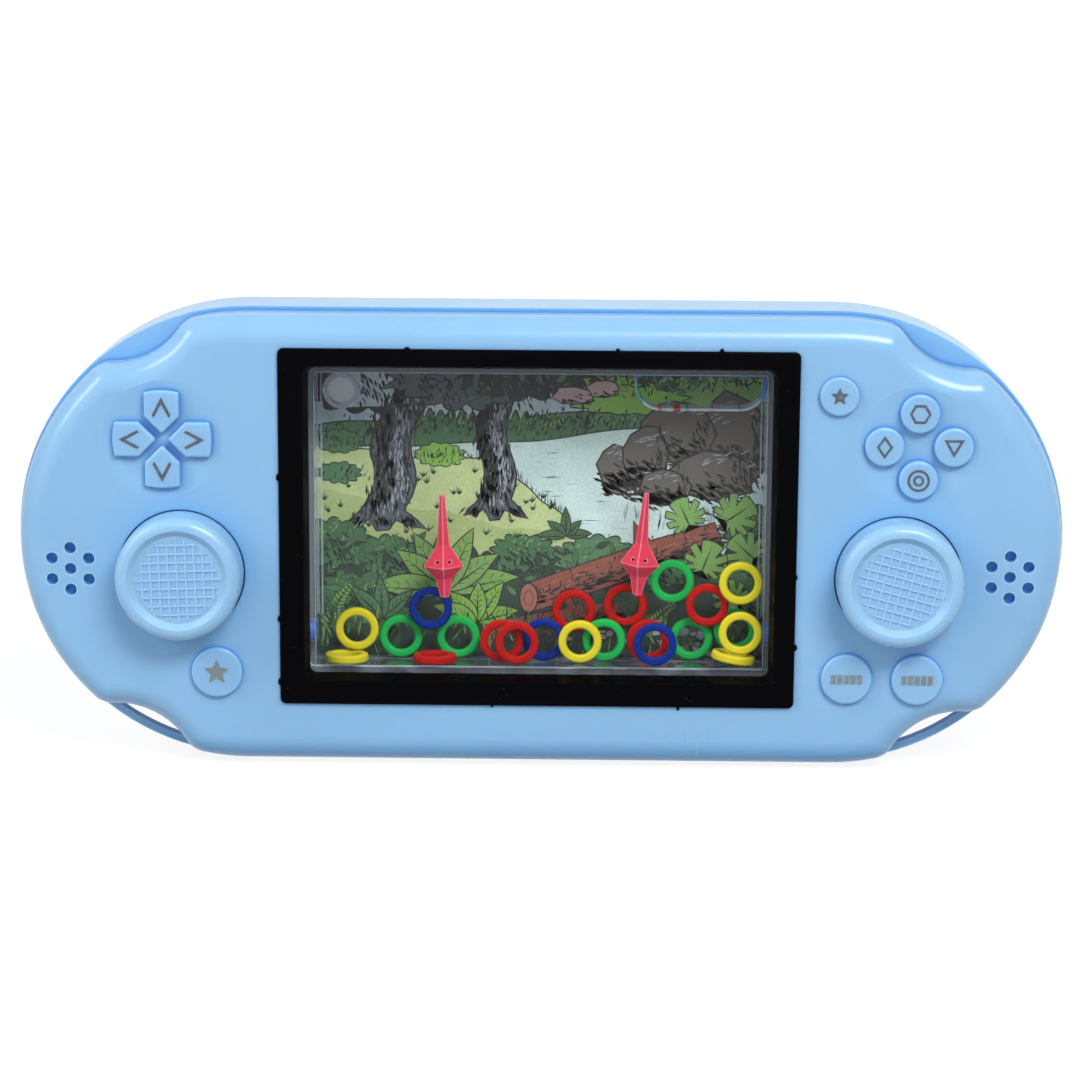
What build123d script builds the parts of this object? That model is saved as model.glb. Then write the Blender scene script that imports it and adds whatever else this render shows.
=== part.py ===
from build123d import *
import os
from math import cos, hypot, radians, sin

# A water-filled ring-toss game in a shell shaped like a handheld console.
# Millimetres. +Z is up, the screen faces -Y, and the parting plane of the two shells is y = 0.
# The origin is on the flat bottom of the rear shell, below the middle of the screen.
os.makedirs("parts", exist_ok=True)

# ---- Modelling margins ----
past = 1.0                  # how far a cut runs past the surface it opens
root = 0.1                  # how far an added piece is rooted in its wall

# ---- Shells ----
body_length = 180.0
body_height = 79.2
front_depth = 8.0
rear_depth = 18.0
shell_wall = 1.8
seam_step = 0.7             # the rear shell stands out this far round the front shell
front_edge_radius = 4.4
rear_edge_radius = 7.0
scallop_out = 22.6          # axes of the four round bites, outwards from the centres of the ends
scallop_beyond = 4.2        # how far those axes lie above the shell's top and below its bottom
scallop_low_lift = 0.6         # how much nearer the middle the two lower axes lie
scallop_radius = 13.7
scallop_corner = 4.8        # rounding where a bite runs out into the outline
least_corner = 0.5
strap_bar_width = 1.2
strap_bar_depth = 2.4

# ---- Screen frame ----
frame_width = 88.2
frame_height = 61.8
frame_corner = 1.0
frame_edge = 0.3
frame_proud = 0.6
frame_rise = 2.7            # above the shell's middle
frame_x = -0.3
window_width = 78.9
window_height = 53.2
window_corner = 1.2
window_rise = 3.35
window_recess = 2.4         # from the shell's face back to the tank's face
window_draft = 0.7          # the opening widens by this towards the viewer
well_wall = 0.9
fit_gap = 0.15              # between pieces that slide into each other and stay

# ---- Tank ----
tank_wall = 1.65
tank_face = 1.8
tank_depth = 9.6            # clear depth of the water
tank_corner = 1.2
tank_edge = 0.5
tank_side_gap = 0.05        # between the tank and the outline of the well in front of it
tank_end_gap = 0.2
cavity_corner = 0.4
plate_thickness = 1.6
plate_rim = 0.6
plate_rim_depth = 1.4
card_thickness = 0.5
card_margin = 0.5
collar_wall = 1.2
filler_inset = 4.15         # from the tank's side wall to the filler's axis
filler_drop = 4.4           # from the tank's top wall down to it
filler_radius = 3.1
filler_bore = 2.35
filler_length = 4.6
plug_head_radius = 3.6
plug_head_height = 1.4
plug_edge = 0.4
plug_shank_length = 3.6
plug_access_radius = 4.6

# ---- Pegs ----
peg_height_up = 12.6        # from the widest level to the tip
peg_height_down = 5.4
peg_half_width = 3.45
peg_shoulder_up = 3.8
peg_shoulder_half = 1.1
peg_tip_half = 0.45
peg_waist_down = 2.1
peg_waist_half = 1.5
peg_foot_half = 0.75
peg_stem_radius = 1.0
peg_boss_radius = 2.1
peg_boss_height = 1.2
peg_socket_depth = 1.9
peg_dimple_radius = 0.28
peg_dimple_x = 1.05
peg_dimple_z = 1.0
peg_dimple_floor = 0.9      # from the peg's middle out to the bottom of a dimple
peg_setback = 6.2           # from the tank's face to the peg's middle
left_peg_inset = 22.05      # from the tank's side wall to the peg's axis
left_peg_rise = 16.95       # from the tank's floor to the peg's widest level
right_peg_inset = 21.4
right_peg_rise = 17.65

# ---- Rings ----
ring_radius = 3.77
ring_bore = 2.39
ring_thickness = 1.5
ring_edge = 0.45
ring_rest_gap = 0.05
ring_tilt = 10.0            # the last flat ring leans on its neighbour's foot

# ---- Pumps ----
pump_out = 10.8             # outwards from the centre of the shell's end
pump_drop = 5.3             # below the shell's middle
pump_hole_radius = 10.95
pump_cap_gap = 0.25
pump_protrusion = 7.0
pump_travel = 5.5
pump_rest_gap = 0.05        # between the pieces of a pump that touch at rest
pump_cap_wall = 1.3
pump_cap_edge = 1.7
pump_flange_width = 1.3
pump_flange_thickness = 1.2
pump_collar_wall = 1.4
pump_collar_length = 5.2
dish_radius = 8.6
dish_depth = 0.9
dish_floor_radius = 7.6
grid_radius = 6.9
grid_pitch = 1.5
grid_line = 0.3
grid_height = 0.22
grid_lines_each_side = 4
grip_dot_radius = 0.22
grip_dot_gap = 0.1          # between the grid and each of the four dots round it
cap_turns = {"left": -2.0, "right": 15.0}
cap_boss_radius = 3.6
plunger_pin_radius = 2.0
plunger_pin_gap = 0.06
plunger_pin_end_gap = 0.5   # between the pin's end and the cap's top
plunger_head_radius = 8.6
plunger_head_thickness = 1.6
plunger_setback = 4.9       # from the shell's face to the front of the plunger's head
bellows_radius = 8.2
bellows_fold = 1.7
bellows_folds = 4
bellows_wall = 0.8
bellows_closed = 6.0        # length of a bellows that is pressed all the way
pump_base_radius = 9.6
pump_base_thickness = 2.0
pump_skirt_wall = 1.2
spigot_height = 1.6
duct_radius = 2.1
duct_bore = 1.3
duct_knee_out = 4.3         # from the tank's side to the duct's bend
duct_rise = 5.2             # from the tank's floor up to the duct
duct_y = 3.3
duct_back_gap = 0.3
seal_thickness = 1.2
seal_width = 1.3

# ---- Controls moulded in the front shell ----
pad_out = 13.66             # outwards from the centre of the shell's end
pad_rise = 17.85            # above the shell's middle
pad_reach = 8.1
pad_bulge = 0.35
pad_half_width = 3.0
pad_heart = 0.95
control_rise = 0.95
control_edge = 0.45
control_root = 1.6          # how deep a control is rooted in the shell's wall
control_dish_radius = 10.2
control_dish_depth = 0.7
cluster_out = 13.65
cluster_rise = 17.65
cluster_reach_x = 5.85
cluster_reach_z = 5.7
small_button_radius = 3.35
large_button_radius = 4.4
star_rise = 26.2
left_large_out = 4.9
left_large_drop = 22.7
inner_large_out = 2.35
inner_large_drop = 22.85
outer_large_out = 14.45
outer_large_drop = 22.9
speaker_out = 29.8
speaker_drop = 4.85
speaker_pitch = 3.63
speaker_hole_radius = 1.0

# ---- Screws ----
upper_screw_inset = 9.0     # from the shell's top
lower_screw_inset = 8.4     # from its bottom
inner_screw_back = 3.6      # inwards from the centre of the shell's end
outer_screw_out = 29.2
outer_screw_rise = 10.9
screw_shank_radius = 1.3
screw_head_radius = 2.4
screw_head_height = 1.6
screw_length = 9.0
screw_bite = 4.6            # how far a screw reaches into the front shell's boss
screw_post_radius = 3.9
front_boss_radius = 3.0
screw_access_gap = 0.4
screw_slot_width = 0.6
screw_slot_length = 3.1
screw_head_edge = 0.5
rib_wall = 1.2
rib_inset = 2.4

# ---- Places worked out from the sizes above ----
mid_z = body_height / 2
rear_radius = body_height / 2
front_radius = rear_radius - seam_step
end_x = body_length / 2 - rear_radius
window_z = mid_z + window_rise
frame_z = mid_z + frame_rise
scallop_x = end_x + scallop_out
scallop_reach = rear_radius + scallop_beyond
face_y = -front_depth
inner_face_y = face_y + shell_wall
back_y = rear_depth
inner_back_y = back_y - shell_wall
window_y = face_y + window_recess
well_width = window_width + 2 * well_wall
well_height = window_height + 2 * well_wall
mouth_width = well_width + 2 * fit_gap
mouth_height = well_height + 2 * fit_gap
tank_width = well_width - 2 * tank_side_gap
tank_height = well_height - 2 * tank_end_gap
tank_inner_y = window_y + tank_face
plate_y = tank_inner_y + tank_depth
card_y = plate_y + plate_thickness
card_back_y = card_y + card_thickness
half_cavity_x = tank_width / 2 - tank_wall
half_cavity_z = tank_height / 2 - tank_wall
floor_z = window_z - half_cavity_z
filler_x = filler_inset - half_cavity_x
filler_z = window_z + half_cavity_z - filler_drop
pump_x = end_x + pump_out
pump_z = mid_z - pump_drop
duct_knee_x = tank_width / 2 + duct_knee_out
duct_z = floor_z + duct_rise
pad_x = -end_x - pad_out
pad_z = mid_z + pad_rise
cluster_x = end_x + cluster_out
cluster_z = mid_z + cluster_rise
star_button = (end_x, mid_z + star_rise)
large_buttons = [
    (-end_x - left_large_out, mid_z - left_large_drop),
    (end_x + inner_large_out, mid_z - inner_large_drop),
    (end_x + outer_large_out, mid_z - outer_large_drop),
]
speaker_x = end_x + speaker_out
speaker_z = mid_z - speaker_drop
screw_places = [
    (end_x - inner_screw_back, body_height - upper_screw_inset),
    (end_x - inner_screw_back, lower_screw_inset),
    (end_x + outer_screw_out, mid_z + outer_screw_rise),
]
pump_cap_radius = pump_hole_radius - pump_cap_gap
cap_top_y = face_y - pump_protrusion
flange_y = face_y + pump_collar_length
plunger_y = face_y + plunger_setback
bellows_y = plunger_y + plunger_head_thickness
pump_base_y = bellows_y + pump_travel + bellows_closed
duct_back_y = inner_back_y - duct_radius - duct_back_gap
collar_end_y = duct_y - duct_radius - seal_width - fit_gap
head_y = screw_length - screw_bite


def facing(y):
    """Plane at depth y whose own x and y run along +X and +Z, and whose normal faces the viewer."""
    return Plane((0, y, 0), x_dir=(1, 0, 0), z_dir=(0, -1, 0))


def slab(outline, near_y, far_y):
    """Solid of a flat outline between two depths."""
    return extrude(facing(far_y) * outline, amount=far_y - near_y)


def turned(profile, x=0.0, z=0.0):
    """Solid of revolution about an axis along Y: the profile holds (radius, y) points."""
    return Pos(x, 0, z) * revolve(make_face(Polyline(*profile, close=True)), Axis.Y)


def disc(radius, near_y, far_y, x=0.0, z=0.0):
    """Round bar along Y."""
    return slab(Pos(x, z) * Circle(radius), near_y, far_y)


def edges_at(solid, y, tolerance=0.01):
    """The edges that lie wholly in the plane of one depth."""
    return solid.edges().filter_by_position(Axis.Y, y - tolerance, y + tolerance)


def save(name, shape):
    """Write one sub-part under its node name."""
    if len(shape.solids()) == 1:
        shape = shape.solids()[0]
    shape.label = name
    export_step(shape, f"parts/{name}.step")


# ---- Outlines of the shells ----

def stadium(radius):
    """Round-ended outline about the body's middle, in (x, z)."""
    straight = Rectangle(2 * end_x, 2 * radius)
    ends = [Pos(side * end_x, 0) * Circle(radius) for side in (-1, 1)]
    return Pos(0, mid_z) * (straight + ends)


def scallop_centres(rows):
    """Axes of the shoulder bites in the named rows: 1 is the upper one, -1 the lower one."""
    lift = {1: 0, -1: scallop_low_lift}
    return [(side * scallop_x, mid_z + row * (scallop_reach - lift[row])) for row in rows for side in (-1, 1)]


def bitten(radius, inset, rows):
    """Round-ended outline with the shoulder bites cut out and their corners rounded."""
    face = stadium(radius)
    bite = scallop_radius + inset
    centres = scallop_centres(rows)
    for centre in centres:
        face -= Pos(*centre) * Circle(bite)
    corners = [
        vertex for vertex in face.vertices()
        if any(abs(hypot(vertex.X - x, vertex.Y - z) - bite) < 1e-3 for x, z in centres)
    ]
    return fillet(corners, max(scallop_corner - inset, least_corner))


def rounded_slab(outline, near_y, far_y, edge_y, radius):
    """Slab whose edges at one depth are rounded."""
    solid = slab(outline, near_y, far_y)
    return fillet(edges_at(solid, edge_y), radius)


# ---- Controls ----

def petal():
    """Outline of one direction pad key: a point at the heart, a bulged outer end."""
    near = pad_heart + pad_half_width
    sides = Polyline(
        (pad_reach, -pad_half_width), (near, -pad_half_width), (pad_heart, 0),
        (near, pad_half_width), (pad_reach, pad_half_width),
    )
    end = ThreePointArc(
        (pad_reach, pad_half_width), (pad_reach + pad_bulge, 0), (pad_reach, -pad_half_width)
    )
    return fillet(make_face(sides + end).vertices(), control_edge)


def raised(outline):
    """Control that stands out of the shell's face, rooted in its wall, with a rounded top."""
    top_y = face_y - control_rise
    return rounded_slab(outline, top_y, face_y + control_root, top_y, control_edge)


def control_dish(x, z):
    """Shallow round hollow: the cap of a large ball that dips into the face."""
    ball = (control_dish_radius ** 2 + control_dish_depth ** 2) / (2 * control_dish_depth)
    return Pos(x, face_y + control_dish_depth - ball, z) * Sphere(ball)


def controls():
    """All moulded keys and buttons of the front shell."""
    keys = [
        raised(Pos(pad_x, pad_z) * Rot(0, 0, 90 * quarter) * petal()) for quarter in range(4)
    ]
    places = [
        (cluster_x + side * cluster_reach_x, cluster_z) for side in (-1, 1)
    ] + [
        (cluster_x, cluster_z + side * cluster_reach_z) for side in (-1, 1)
    ] + [star_button]
    keys += [raised(Pos(x, z) * Circle(small_button_radius)) for x, z in places]
    keys += [raised(Pos(x, z) * Circle(large_button_radius)) for x, z in large_buttons]
    return keys


def speaker_holes():
    """Six holes round a seventh, on both grips."""
    holes = []
    for side in (-1, 1):
        spots = [(0, 0)]
        for turn in range(6):
            angle = radians(60 * turn + 30)
            spots.append((speaker_pitch * cos(angle), speaker_pitch * sin(angle)))
        for dx, dz in spots:
            x, z = side * speaker_x + dx, speaker_z + dz
            holes.append(disc(speaker_hole_radius, face_y - past, inner_face_y + past, x, z))
    return holes


def screw_axes():
    """Screw places on both sides."""
    return [(side * x, z) for side in (-1, 1) for x, z in screw_places]


# ---- Front shell ----

def window_outline(width, height, corner):
    """Rounded rectangle about the window's middle."""
    return Pos(0, window_z) * RectangleRounded(width, height, corner)


def front_shell():
    """Light shell half with the screen mouth, pump holes, collars, bosses and moulded keys."""
    outer = rounded_slab(
        bitten(front_radius, 0, (1, -1)), face_y, 0, face_y, front_edge_radius
    )
    hollow = rounded_slab(
        bitten(front_radius - shell_wall, shell_wall, (1, -1)), inner_face_y, past, inner_face_y,
        front_edge_radius - shell_wall,
    )
    shell = outer - hollow
    corner = window_corner + well_wall
    collar = window_outline(mouth_width + 2 * collar_wall, mouth_height + 2 * collar_wall, corner)
    shell += slab(collar, inner_face_y - root, collar_end_y)
    for x, z in screw_axes():
        shell += disc(front_boss_radius, inner_face_y - root, 0, x, z)
    for side in (-1, 1):
        radius = pump_hole_radius + pump_collar_wall
        shell += disc(radius, inner_face_y - root, flange_y, side * pump_x, pump_z)
    shell -= slab(window_outline(mouth_width, mouth_height, corner), face_y - past, past)
    for side in (-1, 1):
        shell -= disc(pump_hole_radius, face_y - past, past, side * pump_x, pump_z)
    for x, z in screw_axes():
        shell -= disc(screw_shank_radius, -screw_bite, past, x, z)
    for x, z in ((pad_x, pad_z), (cluster_x, cluster_z)):
        shell -= control_dish(x, z)
    for key in controls():
        shell += key
    for hole in speaker_holes():
        shell -= hole
    return shell


# ---- Rear shell ----

def rear_shell():
    """Deeper light shell half with strap bars, screw posts, card rib and plug access."""
    shell = rounded_slab(stadium(rear_radius), 0, back_y, back_y, rear_edge_radius)
    hollow = rounded_slab(
        bitten(rear_radius - shell_wall, shell_wall, (1, -1)), -past, inner_back_y, inner_back_y,
        rear_edge_radius - shell_wall,
    )
    lower_bites = [Pos(*centre) * Circle(scallop_radius) for centre in scallop_centres((-1,))]
    slot = stadium(rear_radius - strap_bar_width)
    for bite in lower_bites:
        shell -= slab(bite, strap_bar_depth, back_y + past)
        shell -= slab(bite & slot, -past, strap_bar_depth + past)
    shell -= hollow
    for x, z in screw_axes():
        shell += disc(screw_post_radius, 0, inner_back_y + root, x, z)
    rib = window_outline(tank_width - 2 * rib_inset, tank_height - 2 * rib_inset, tank_corner)
    bay = window_outline(
        tank_width - 2 * (rib_inset + rib_wall), tank_height - 2 * (rib_inset + rib_wall),
        tank_corner,
    )
    shell += slab(rib - bay, card_back_y, inner_back_y + root)
    shell -= disc(plug_access_radius, card_back_y - past, back_y + past, filler_x, filler_z)
    for x, z in screw_axes():
        shell -= disc(screw_shank_radius + fit_gap, -past, back_y, x, z)
        shell -= disc(screw_head_radius + screw_access_gap, head_y, back_y + past, x, z)
    return shell


# ---- Screen frame and tank ----

def screen_frame():
    """Black frame: a flange on the shell's face and a drafted well down to the tank."""
    front_y = face_y - frame_proud
    plate = slab(
        Pos(frame_x, frame_z) * RectangleRounded(frame_width, frame_height, frame_corner),
        front_y, face_y,
    )
    plate = fillet(edges_at(plate, front_y), frame_edge)
    frame = plate + slab(
        window_outline(well_width, well_height, window_corner + well_wall), face_y, window_y
    )
    wide = window_outline(
        window_width + 2 * window_draft, window_height + 2 * window_draft,
        window_corner + window_draft,
    )
    narrow = window_outline(window_width, window_height, window_corner)
    opening = loft([facing(front_y) * wide, facing(window_y) * narrow])
    return frame - opening


def tank_body():
    """Clear box, open at the back, with a duct port low in each side wall."""
    box = slab(window_outline(tank_width, tank_height, tank_corner), window_y, plate_y)
    box = fillet(edges_at(box, window_y), tank_edge)
    cavity = window_outline(2 * half_cavity_x, 2 * half_cavity_z, cavity_corner)
    box -= slab(cavity, tank_inner_y, plate_y + past)
    port = Rot(0, 90, 0) * Cylinder(duct_radius, tank_width + 2 * past)
    return box - Pos(0, duct_y, duct_z) * port


class Peg:
    """One finned peg: where it stands and how it leans."""

    def __init__(self, name, x, z, lean, twist):
        self.name = name
        self.x = x
        self.z = z
        self.lean = lean
        self.twist = twist
        self.y = window_y + peg_setback

    def solid(self):
        """Four-sided spike that swells to a diamond, on a stem that enters the plate's boss."""
        levels = [
            (peg_height_up, peg_tip_half), (peg_shoulder_up, peg_shoulder_half),
            (0, peg_half_width), (-peg_waist_down, peg_waist_half),
            (-peg_height_down, peg_foot_half),
        ]
        sections = [
            Pos(0, 0, height) * Rot(0, 0, 45) * Rectangle(half * 2 ** 0.5, half * 2 ** 0.5)
            for height, half in levels
        ]
        spike = loft(sections, ruled=True)
        for side in (-1, 1):
            spike -= disc(
                peg_dimple_radius, -peg_half_width, -peg_dimple_floor, side * peg_dimple_x, peg_dimple_z
            )
        body = Pos(self.x, self.y, self.z) * Rot(0, self.lean, 0) * Rot(0, 0, self.twist) * spike
        tail_y = plate_y - peg_boss_height + peg_socket_depth
        return body + disc(peg_stem_radius, self.y, tail_y, self.x, self.z)


pegs = [
    Peg("peg_left", left_peg_inset - half_cavity_x, floor_z + left_peg_rise, -1.5, 0.0),
    Peg("peg_right", half_cavity_x - right_peg_inset, floor_z + right_peg_rise, 4.6, -8.0),
]


def tank_back_plate():
    """Clear rear plate with a locating rim, blind peg sockets and the filler neck."""
    outline = window_outline(tank_width, tank_height, tank_corner)
    plate = slab(outline, plate_y, card_y)
    outer_x = half_cavity_x - fit_gap
    top_z = window_z + half_cavity_z - fit_gap
    low_z = floor_z + 2 * ring_radius
    middle_z = (top_z + low_z) / 2
    rim = Pos(0, middle_z) * RectangleRounded(2 * outer_x, top_z - low_z, cavity_corner)
    rim -= Pos(0, middle_z - plate_rim) * Rectangle(2 * (outer_x - plate_rim), top_z - low_z)
    plate += slab(rim, plate_y - plate_rim_depth, plate_y)
    plate += disc(filler_radius, plate_y, card_y + filler_length, filler_x, filler_z)
    plate -= disc(filler_bore, plate_y - past, card_y + filler_length + past, filler_x, filler_z)
    for peg in pegs:
        boss_y = plate_y - peg_boss_height
        plate += disc(peg_boss_radius, boss_y, plate_y, peg.x, peg.z)
        plate -= disc(peg_stem_radius, boss_y - past, boss_y + peg_socket_depth, peg.x, peg.z)
    return plate


def filler_plug():
    """Soft bung in the filler neck."""
    neck_y = card_y + filler_length
    plug = disc(filler_bore, neck_y - plug_shank_length, neck_y, filler_x, filler_z)
    head = disc(plug_head_radius, neck_y, neck_y + plug_head_height, filler_x, filler_z)
    return plug + fillet(edges_at(head, neck_y + plug_head_height), plug_edge)


def backdrop_card():
    """Printed card behind the tank, holed for the filler neck."""
    card = slab(
        window_outline(tank_width - 2 * card_margin, tank_height - 2 * card_margin, tank_corner),
        card_y, card_back_y,
    )
    return card - disc(filler_radius + fit_gap, card_y - past, card_back_y + past, filler_x, filler_z)


# ---- Rings ----

# Depth of each row of standing rings behind the tank's inner face.
ring_rows = {"front": 2.7, "second": 4.55, "third": 6.4, "back": 8.4}
flat_ring_y = 3.85

# The heap leans on both side walls, so each ring's place along X is its distance from a wall, and
# for the two in the middle its distance from the tank's middle.
# Standing rings: name, which of these, distance, height of the lowest point above the floor, row.
standing_rings = [
    ("ring_yellow_1", "left", 6.85, 1.58, "third"),
    ("ring_green_1", "left", 14.45, 0.0, "back"),
    ("ring_blue_1", "left", 19.7, 5.4, "third"),
    ("ring_green_2", "left", 24.45, 0.0, "back"),
    ("ring_red_1", "middle", -6.55, 0.0, "second"),
    ("ring_red_2", "middle", -3.87, 0.0, "front"),
    ("ring_blue_2", "right", 37.87, 0.0, "third"),
    ("ring_red_3", "right", 32.7, 4.8, "back"),
    ("ring_yellow_2", "right", 31.61, 0.0, "second"),
    ("ring_green_3", "right", 27.45, 0.0, "third"),
    ("ring_red_4", "right", 23.75, 5.95, "back"),
    ("ring_red_5", "right", 19.75, 0.0, "third"),
    ("ring_blue_3", "right", 18.6, 0.0, "front"),
    ("ring_green_4", "right", 15.7, 10.25, "back"),
    ("ring_green_5", "right", 12.3, 0.0, "back"),
    ("ring_red_6", "right", 9.6, 6.4, "third"),
    ("ring_yellow_3", "right", 3.9, 10.65, "second"),
    ("ring_green_6", "right", 4.6, 1.65, "back"),
    ("ring_yellow_4", "right", 3.9, 2.1, "front"),
]
# Rings that lie flat: name, which wall, distance, lean.
flat_rings = [
    ("ring_yellow_5", "left", 5.2, 0.0),
    ("ring_red_7", "left", 20.5, 0.0),
    ("ring_yellow_6", "right", 5.05, ring_tilt),
]


def ring_x(side, distance):
    """Place along X of a ring that is set out from one side wall or from the middle."""
    walls = {"left": distance - half_cavity_x, "middle": distance, "right": half_cavity_x - distance}
    return walls[side]


def ring_blank():
    """Ring about the Z axis with rounded edges."""
    blank = Cylinder(ring_radius, ring_thickness) - Cylinder(ring_bore, ring_thickness)
    return fillet(blank.edges().filter_by(GeomType.CIRCLE), ring_edge)


def placed_rings():
    """Every ring with its node name, in the heap at the bottom of the tank."""
    blank = ring_blank()
    for name, side, distance, height, row in standing_rings:
        y = tank_inner_y + ring_rows[row]
        z = floor_z + ring_rest_gap + ring_radius + height
        yield name, Pos(ring_x(side, distance), y, z) * Rot(90, 0, 0) * blank
    for name, side, distance, lean in flat_rings:
        half = ring_thickness / 2 * cos(radians(lean)) + ring_radius * sin(radians(lean))
        z = floor_z + ring_rest_gap + half
        y = tank_inner_y + flat_ring_y
        yield name, Pos(ring_x(side, distance), y, z) * Rot(0, lean, 0) * blank


# ---- Pumps ----

def pump_cap(side, turn):
    """Thumb cap: dished top with a grip grid, a skirt and a flange behind the collar."""
    x = side * pump_x
    skirt_y = flange_y + pump_rest_gap
    rear_y = skirt_y + pump_flange_thickness
    inner = pump_cap_radius - pump_cap_wall
    shelf_y = cap_top_y + dish_depth
    cap = turned([
        (0, shelf_y), (dish_floor_radius, shelf_y), (dish_radius, cap_top_y),
        (pump_cap_radius, cap_top_y), (pump_cap_radius, skirt_y),
        (pump_cap_radius + pump_flange_width, skirt_y),
        (pump_cap_radius + pump_flange_width, rear_y), (inner, rear_y),
        (inner, shelf_y + pump_cap_wall), (0, shelf_y + pump_cap_wall),
    ])
    rim = edges_at(cap, cap_top_y).sort_by(SortBy.LENGTH)[-1]
    cap = fillet(rim, pump_cap_edge)
    boss_end = plunger_y - pump_rest_gap
    cap += disc(cap_boss_radius, shelf_y, boss_end)
    cap -= disc(plunger_pin_radius + plunger_pin_gap, shelf_y + pump_cap_wall, boss_end + past)
    lines = [
        Pos(0, step * grid_pitch) * Rectangle(2 * grid_radius, grid_line)
        for step in range(-grid_lines_each_side, grid_lines_each_side + 1)
    ]
    lines += [Rot(0, 0, 90) * line for line in lines]
    grid = (Sketch() + lines) & Circle(grid_radius)
    cap += slab(Rot(0, 0, -turn) * grid, shelf_y - grid_height, shelf_y + root)
    dot_reach = grid_radius + grip_dot_gap + grip_dot_radius
    for quarter in range(4):
        angle = radians(90 * quarter - turn)
        spot = dot_reach * cos(angle), dot_reach * sin(angle)
        cap += disc(grip_dot_radius, shelf_y - grid_height, shelf_y + root, *spot)
    return Pos(x, 0, pump_z) * cap


def pump_plunger(side):
    """Head that presses the bellows, with the pin that the cap turns on."""
    pin_y = cap_top_y + dish_depth + pump_cap_wall + plunger_pin_end_gap
    plunger = disc(plunger_head_radius, plunger_y, bellows_y) + disc(
        plunger_pin_radius, pin_y, plunger_y
    )
    return Pos(side * pump_x, 0, pump_z) * plunger


def pump_bellows(side):
    """Rubber cup with a closed front end and round folds, open at the back."""
    length = pump_base_y - bellows_y
    step = length / bellows_folds
    outside = []
    for fold in range(bellows_folds):
        start = bellows_y + fold * step
        outside += [(bellows_radius - bellows_fold, start), (bellows_radius, start + step / 2)]
    outside.append((bellows_radius - bellows_fold, pump_base_y))
    inside = [(radius - bellows_wall, y) for radius, y in reversed(outside)]
    inside[-1] = (inside[-1][0], bellows_y + bellows_wall)
    points = [(0, bellows_y)] + outside + inside + [(0, bellows_y + bellows_wall)]
    return turned(points, side * pump_x, pump_z)


def tube_run(start, end, radius):
    """Round bar between two points with a ball at each end."""
    path = Edge.make_line(start, end)
    section = Plane(origin=start, z_dir=Vector(*end) - Vector(*start)) * Circle(radius)
    return sweep(section, path) + Pos(*start) * Sphere(radius)


def duct(side, radius, overrun):
    """The water's way from the pump's middle to the tank's side wall."""
    start = (side * pump_x, duct_back_y, pump_z)
    knee = (side * duct_knee_x, duct_back_y, duct_z)
    turn = (side * duct_knee_x, duct_y, duct_z)
    end = (side * (half_cavity_x - overrun), duct_y, duct_z)
    runs = [tube_run(start, knee, radius), tube_run(knee, turn, radius)]
    runs.append(tube_run(turn, end, radius))
    return runs[0] + runs[1] + runs[2]


def pump_base(side):
    """Seat of the bellows, with its skirt on the rear shell and the moulded duct to the tank."""
    x = side * pump_x
    seat_y = pump_base_y + pump_base_thickness
    spigot = bellows_radius - bellows_fold - bellows_wall
    base = disc(pump_base_radius, pump_base_y, seat_y, x, pump_z)
    base += disc(spigot, pump_base_y - spigot_height, pump_base_y, x, pump_z)
    skirt = disc(pump_base_radius, seat_y, inner_back_y, x, pump_z)
    base += skirt - disc(pump_base_radius - pump_skirt_wall, seat_y, inner_back_y, x, pump_z)
    base += disc(duct_radius, seat_y, duct_back_y, x, pump_z)
    base += duct(side, duct_radius, 0)
    base -= disc(duct_bore, pump_base_y - spigot_height - past, duct_back_y, x, pump_z)
    return base - duct(side, duct_bore, past)


def duct_seal(side):
    """Rubber washer round the duct where it enters the tank."""
    washer = Cylinder(duct_radius + seal_width, seal_thickness) - Cylinder(
        duct_radius, seal_thickness
    )
    x = side * (tank_width / 2 + seal_thickness / 2)
    return Pos(x, duct_y, duct_z) * Rot(0, 90, 0) * washer


# ---- Screws ----

def screw(x, z):
    """Pan-head screw driven from the back, with a cross slot."""
    top_y = head_y + screw_head_height
    head = disc(screw_head_radius, head_y, top_y)
    head = fillet(edges_at(head, top_y), screw_head_edge)
    for turn in (0, 90):
        bar = Rot(0, 0, turn) * Rectangle(screw_slot_length, screw_slot_width)
        head -= slab(bar, top_y - screw_slot_width, top_y + past)
    shank = disc(screw_shank_radius, -screw_bite + fit_gap, head_y)
    return Pos(x, 0, z) * (head + shank)


# ---- Write every sub-part ----

save("front_shell", front_shell())
save("rear_shell", rear_shell())
save("screen_frame", screen_frame())
save("tank_body", tank_body())
save("tank_back_plate", tank_back_plate())
save("filler_plug", filler_plug())
save("backdrop_card", backdrop_card())
for peg in pegs:
    save(peg.name, peg.solid())
for ring_name, ring in placed_rings():
    save(ring_name, ring)
for side_name, side_sign in (("left", -1), ("right", 1)):
    save(f"{side_name}_pump_cap", pump_cap(side_sign, cap_turns[side_name]))
    save(f"{side_name}_pump_plunger", pump_plunger(side_sign))
    save(f"{side_name}_pump_bellows", pump_bellows(side_sign))
    save(f"{side_name}_pump_base", pump_base(side_sign))
    save(f"{side_name}_duct_seal", duct_seal(side_sign))
for number, (screw_x, screw_z) in enumerate(screw_axes(), 1):
    save(f"housing_screw_{number}", screw(screw_x, screw_z))
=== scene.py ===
"""Looks of a water-filled ring-toss game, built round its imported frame.

Everything is in metres in the frame's own axes: +Z up, the screen facing -Y.
"""

import logging
import math
import random
from dataclasses import dataclass
from enum import Enum
from functools import reduce
from typing import Callable, Iterable, Mapping, NamedTuple, Sequence

import bmesh
import bpy
from mathutils import Matrix, Quaternion, Vector


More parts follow.
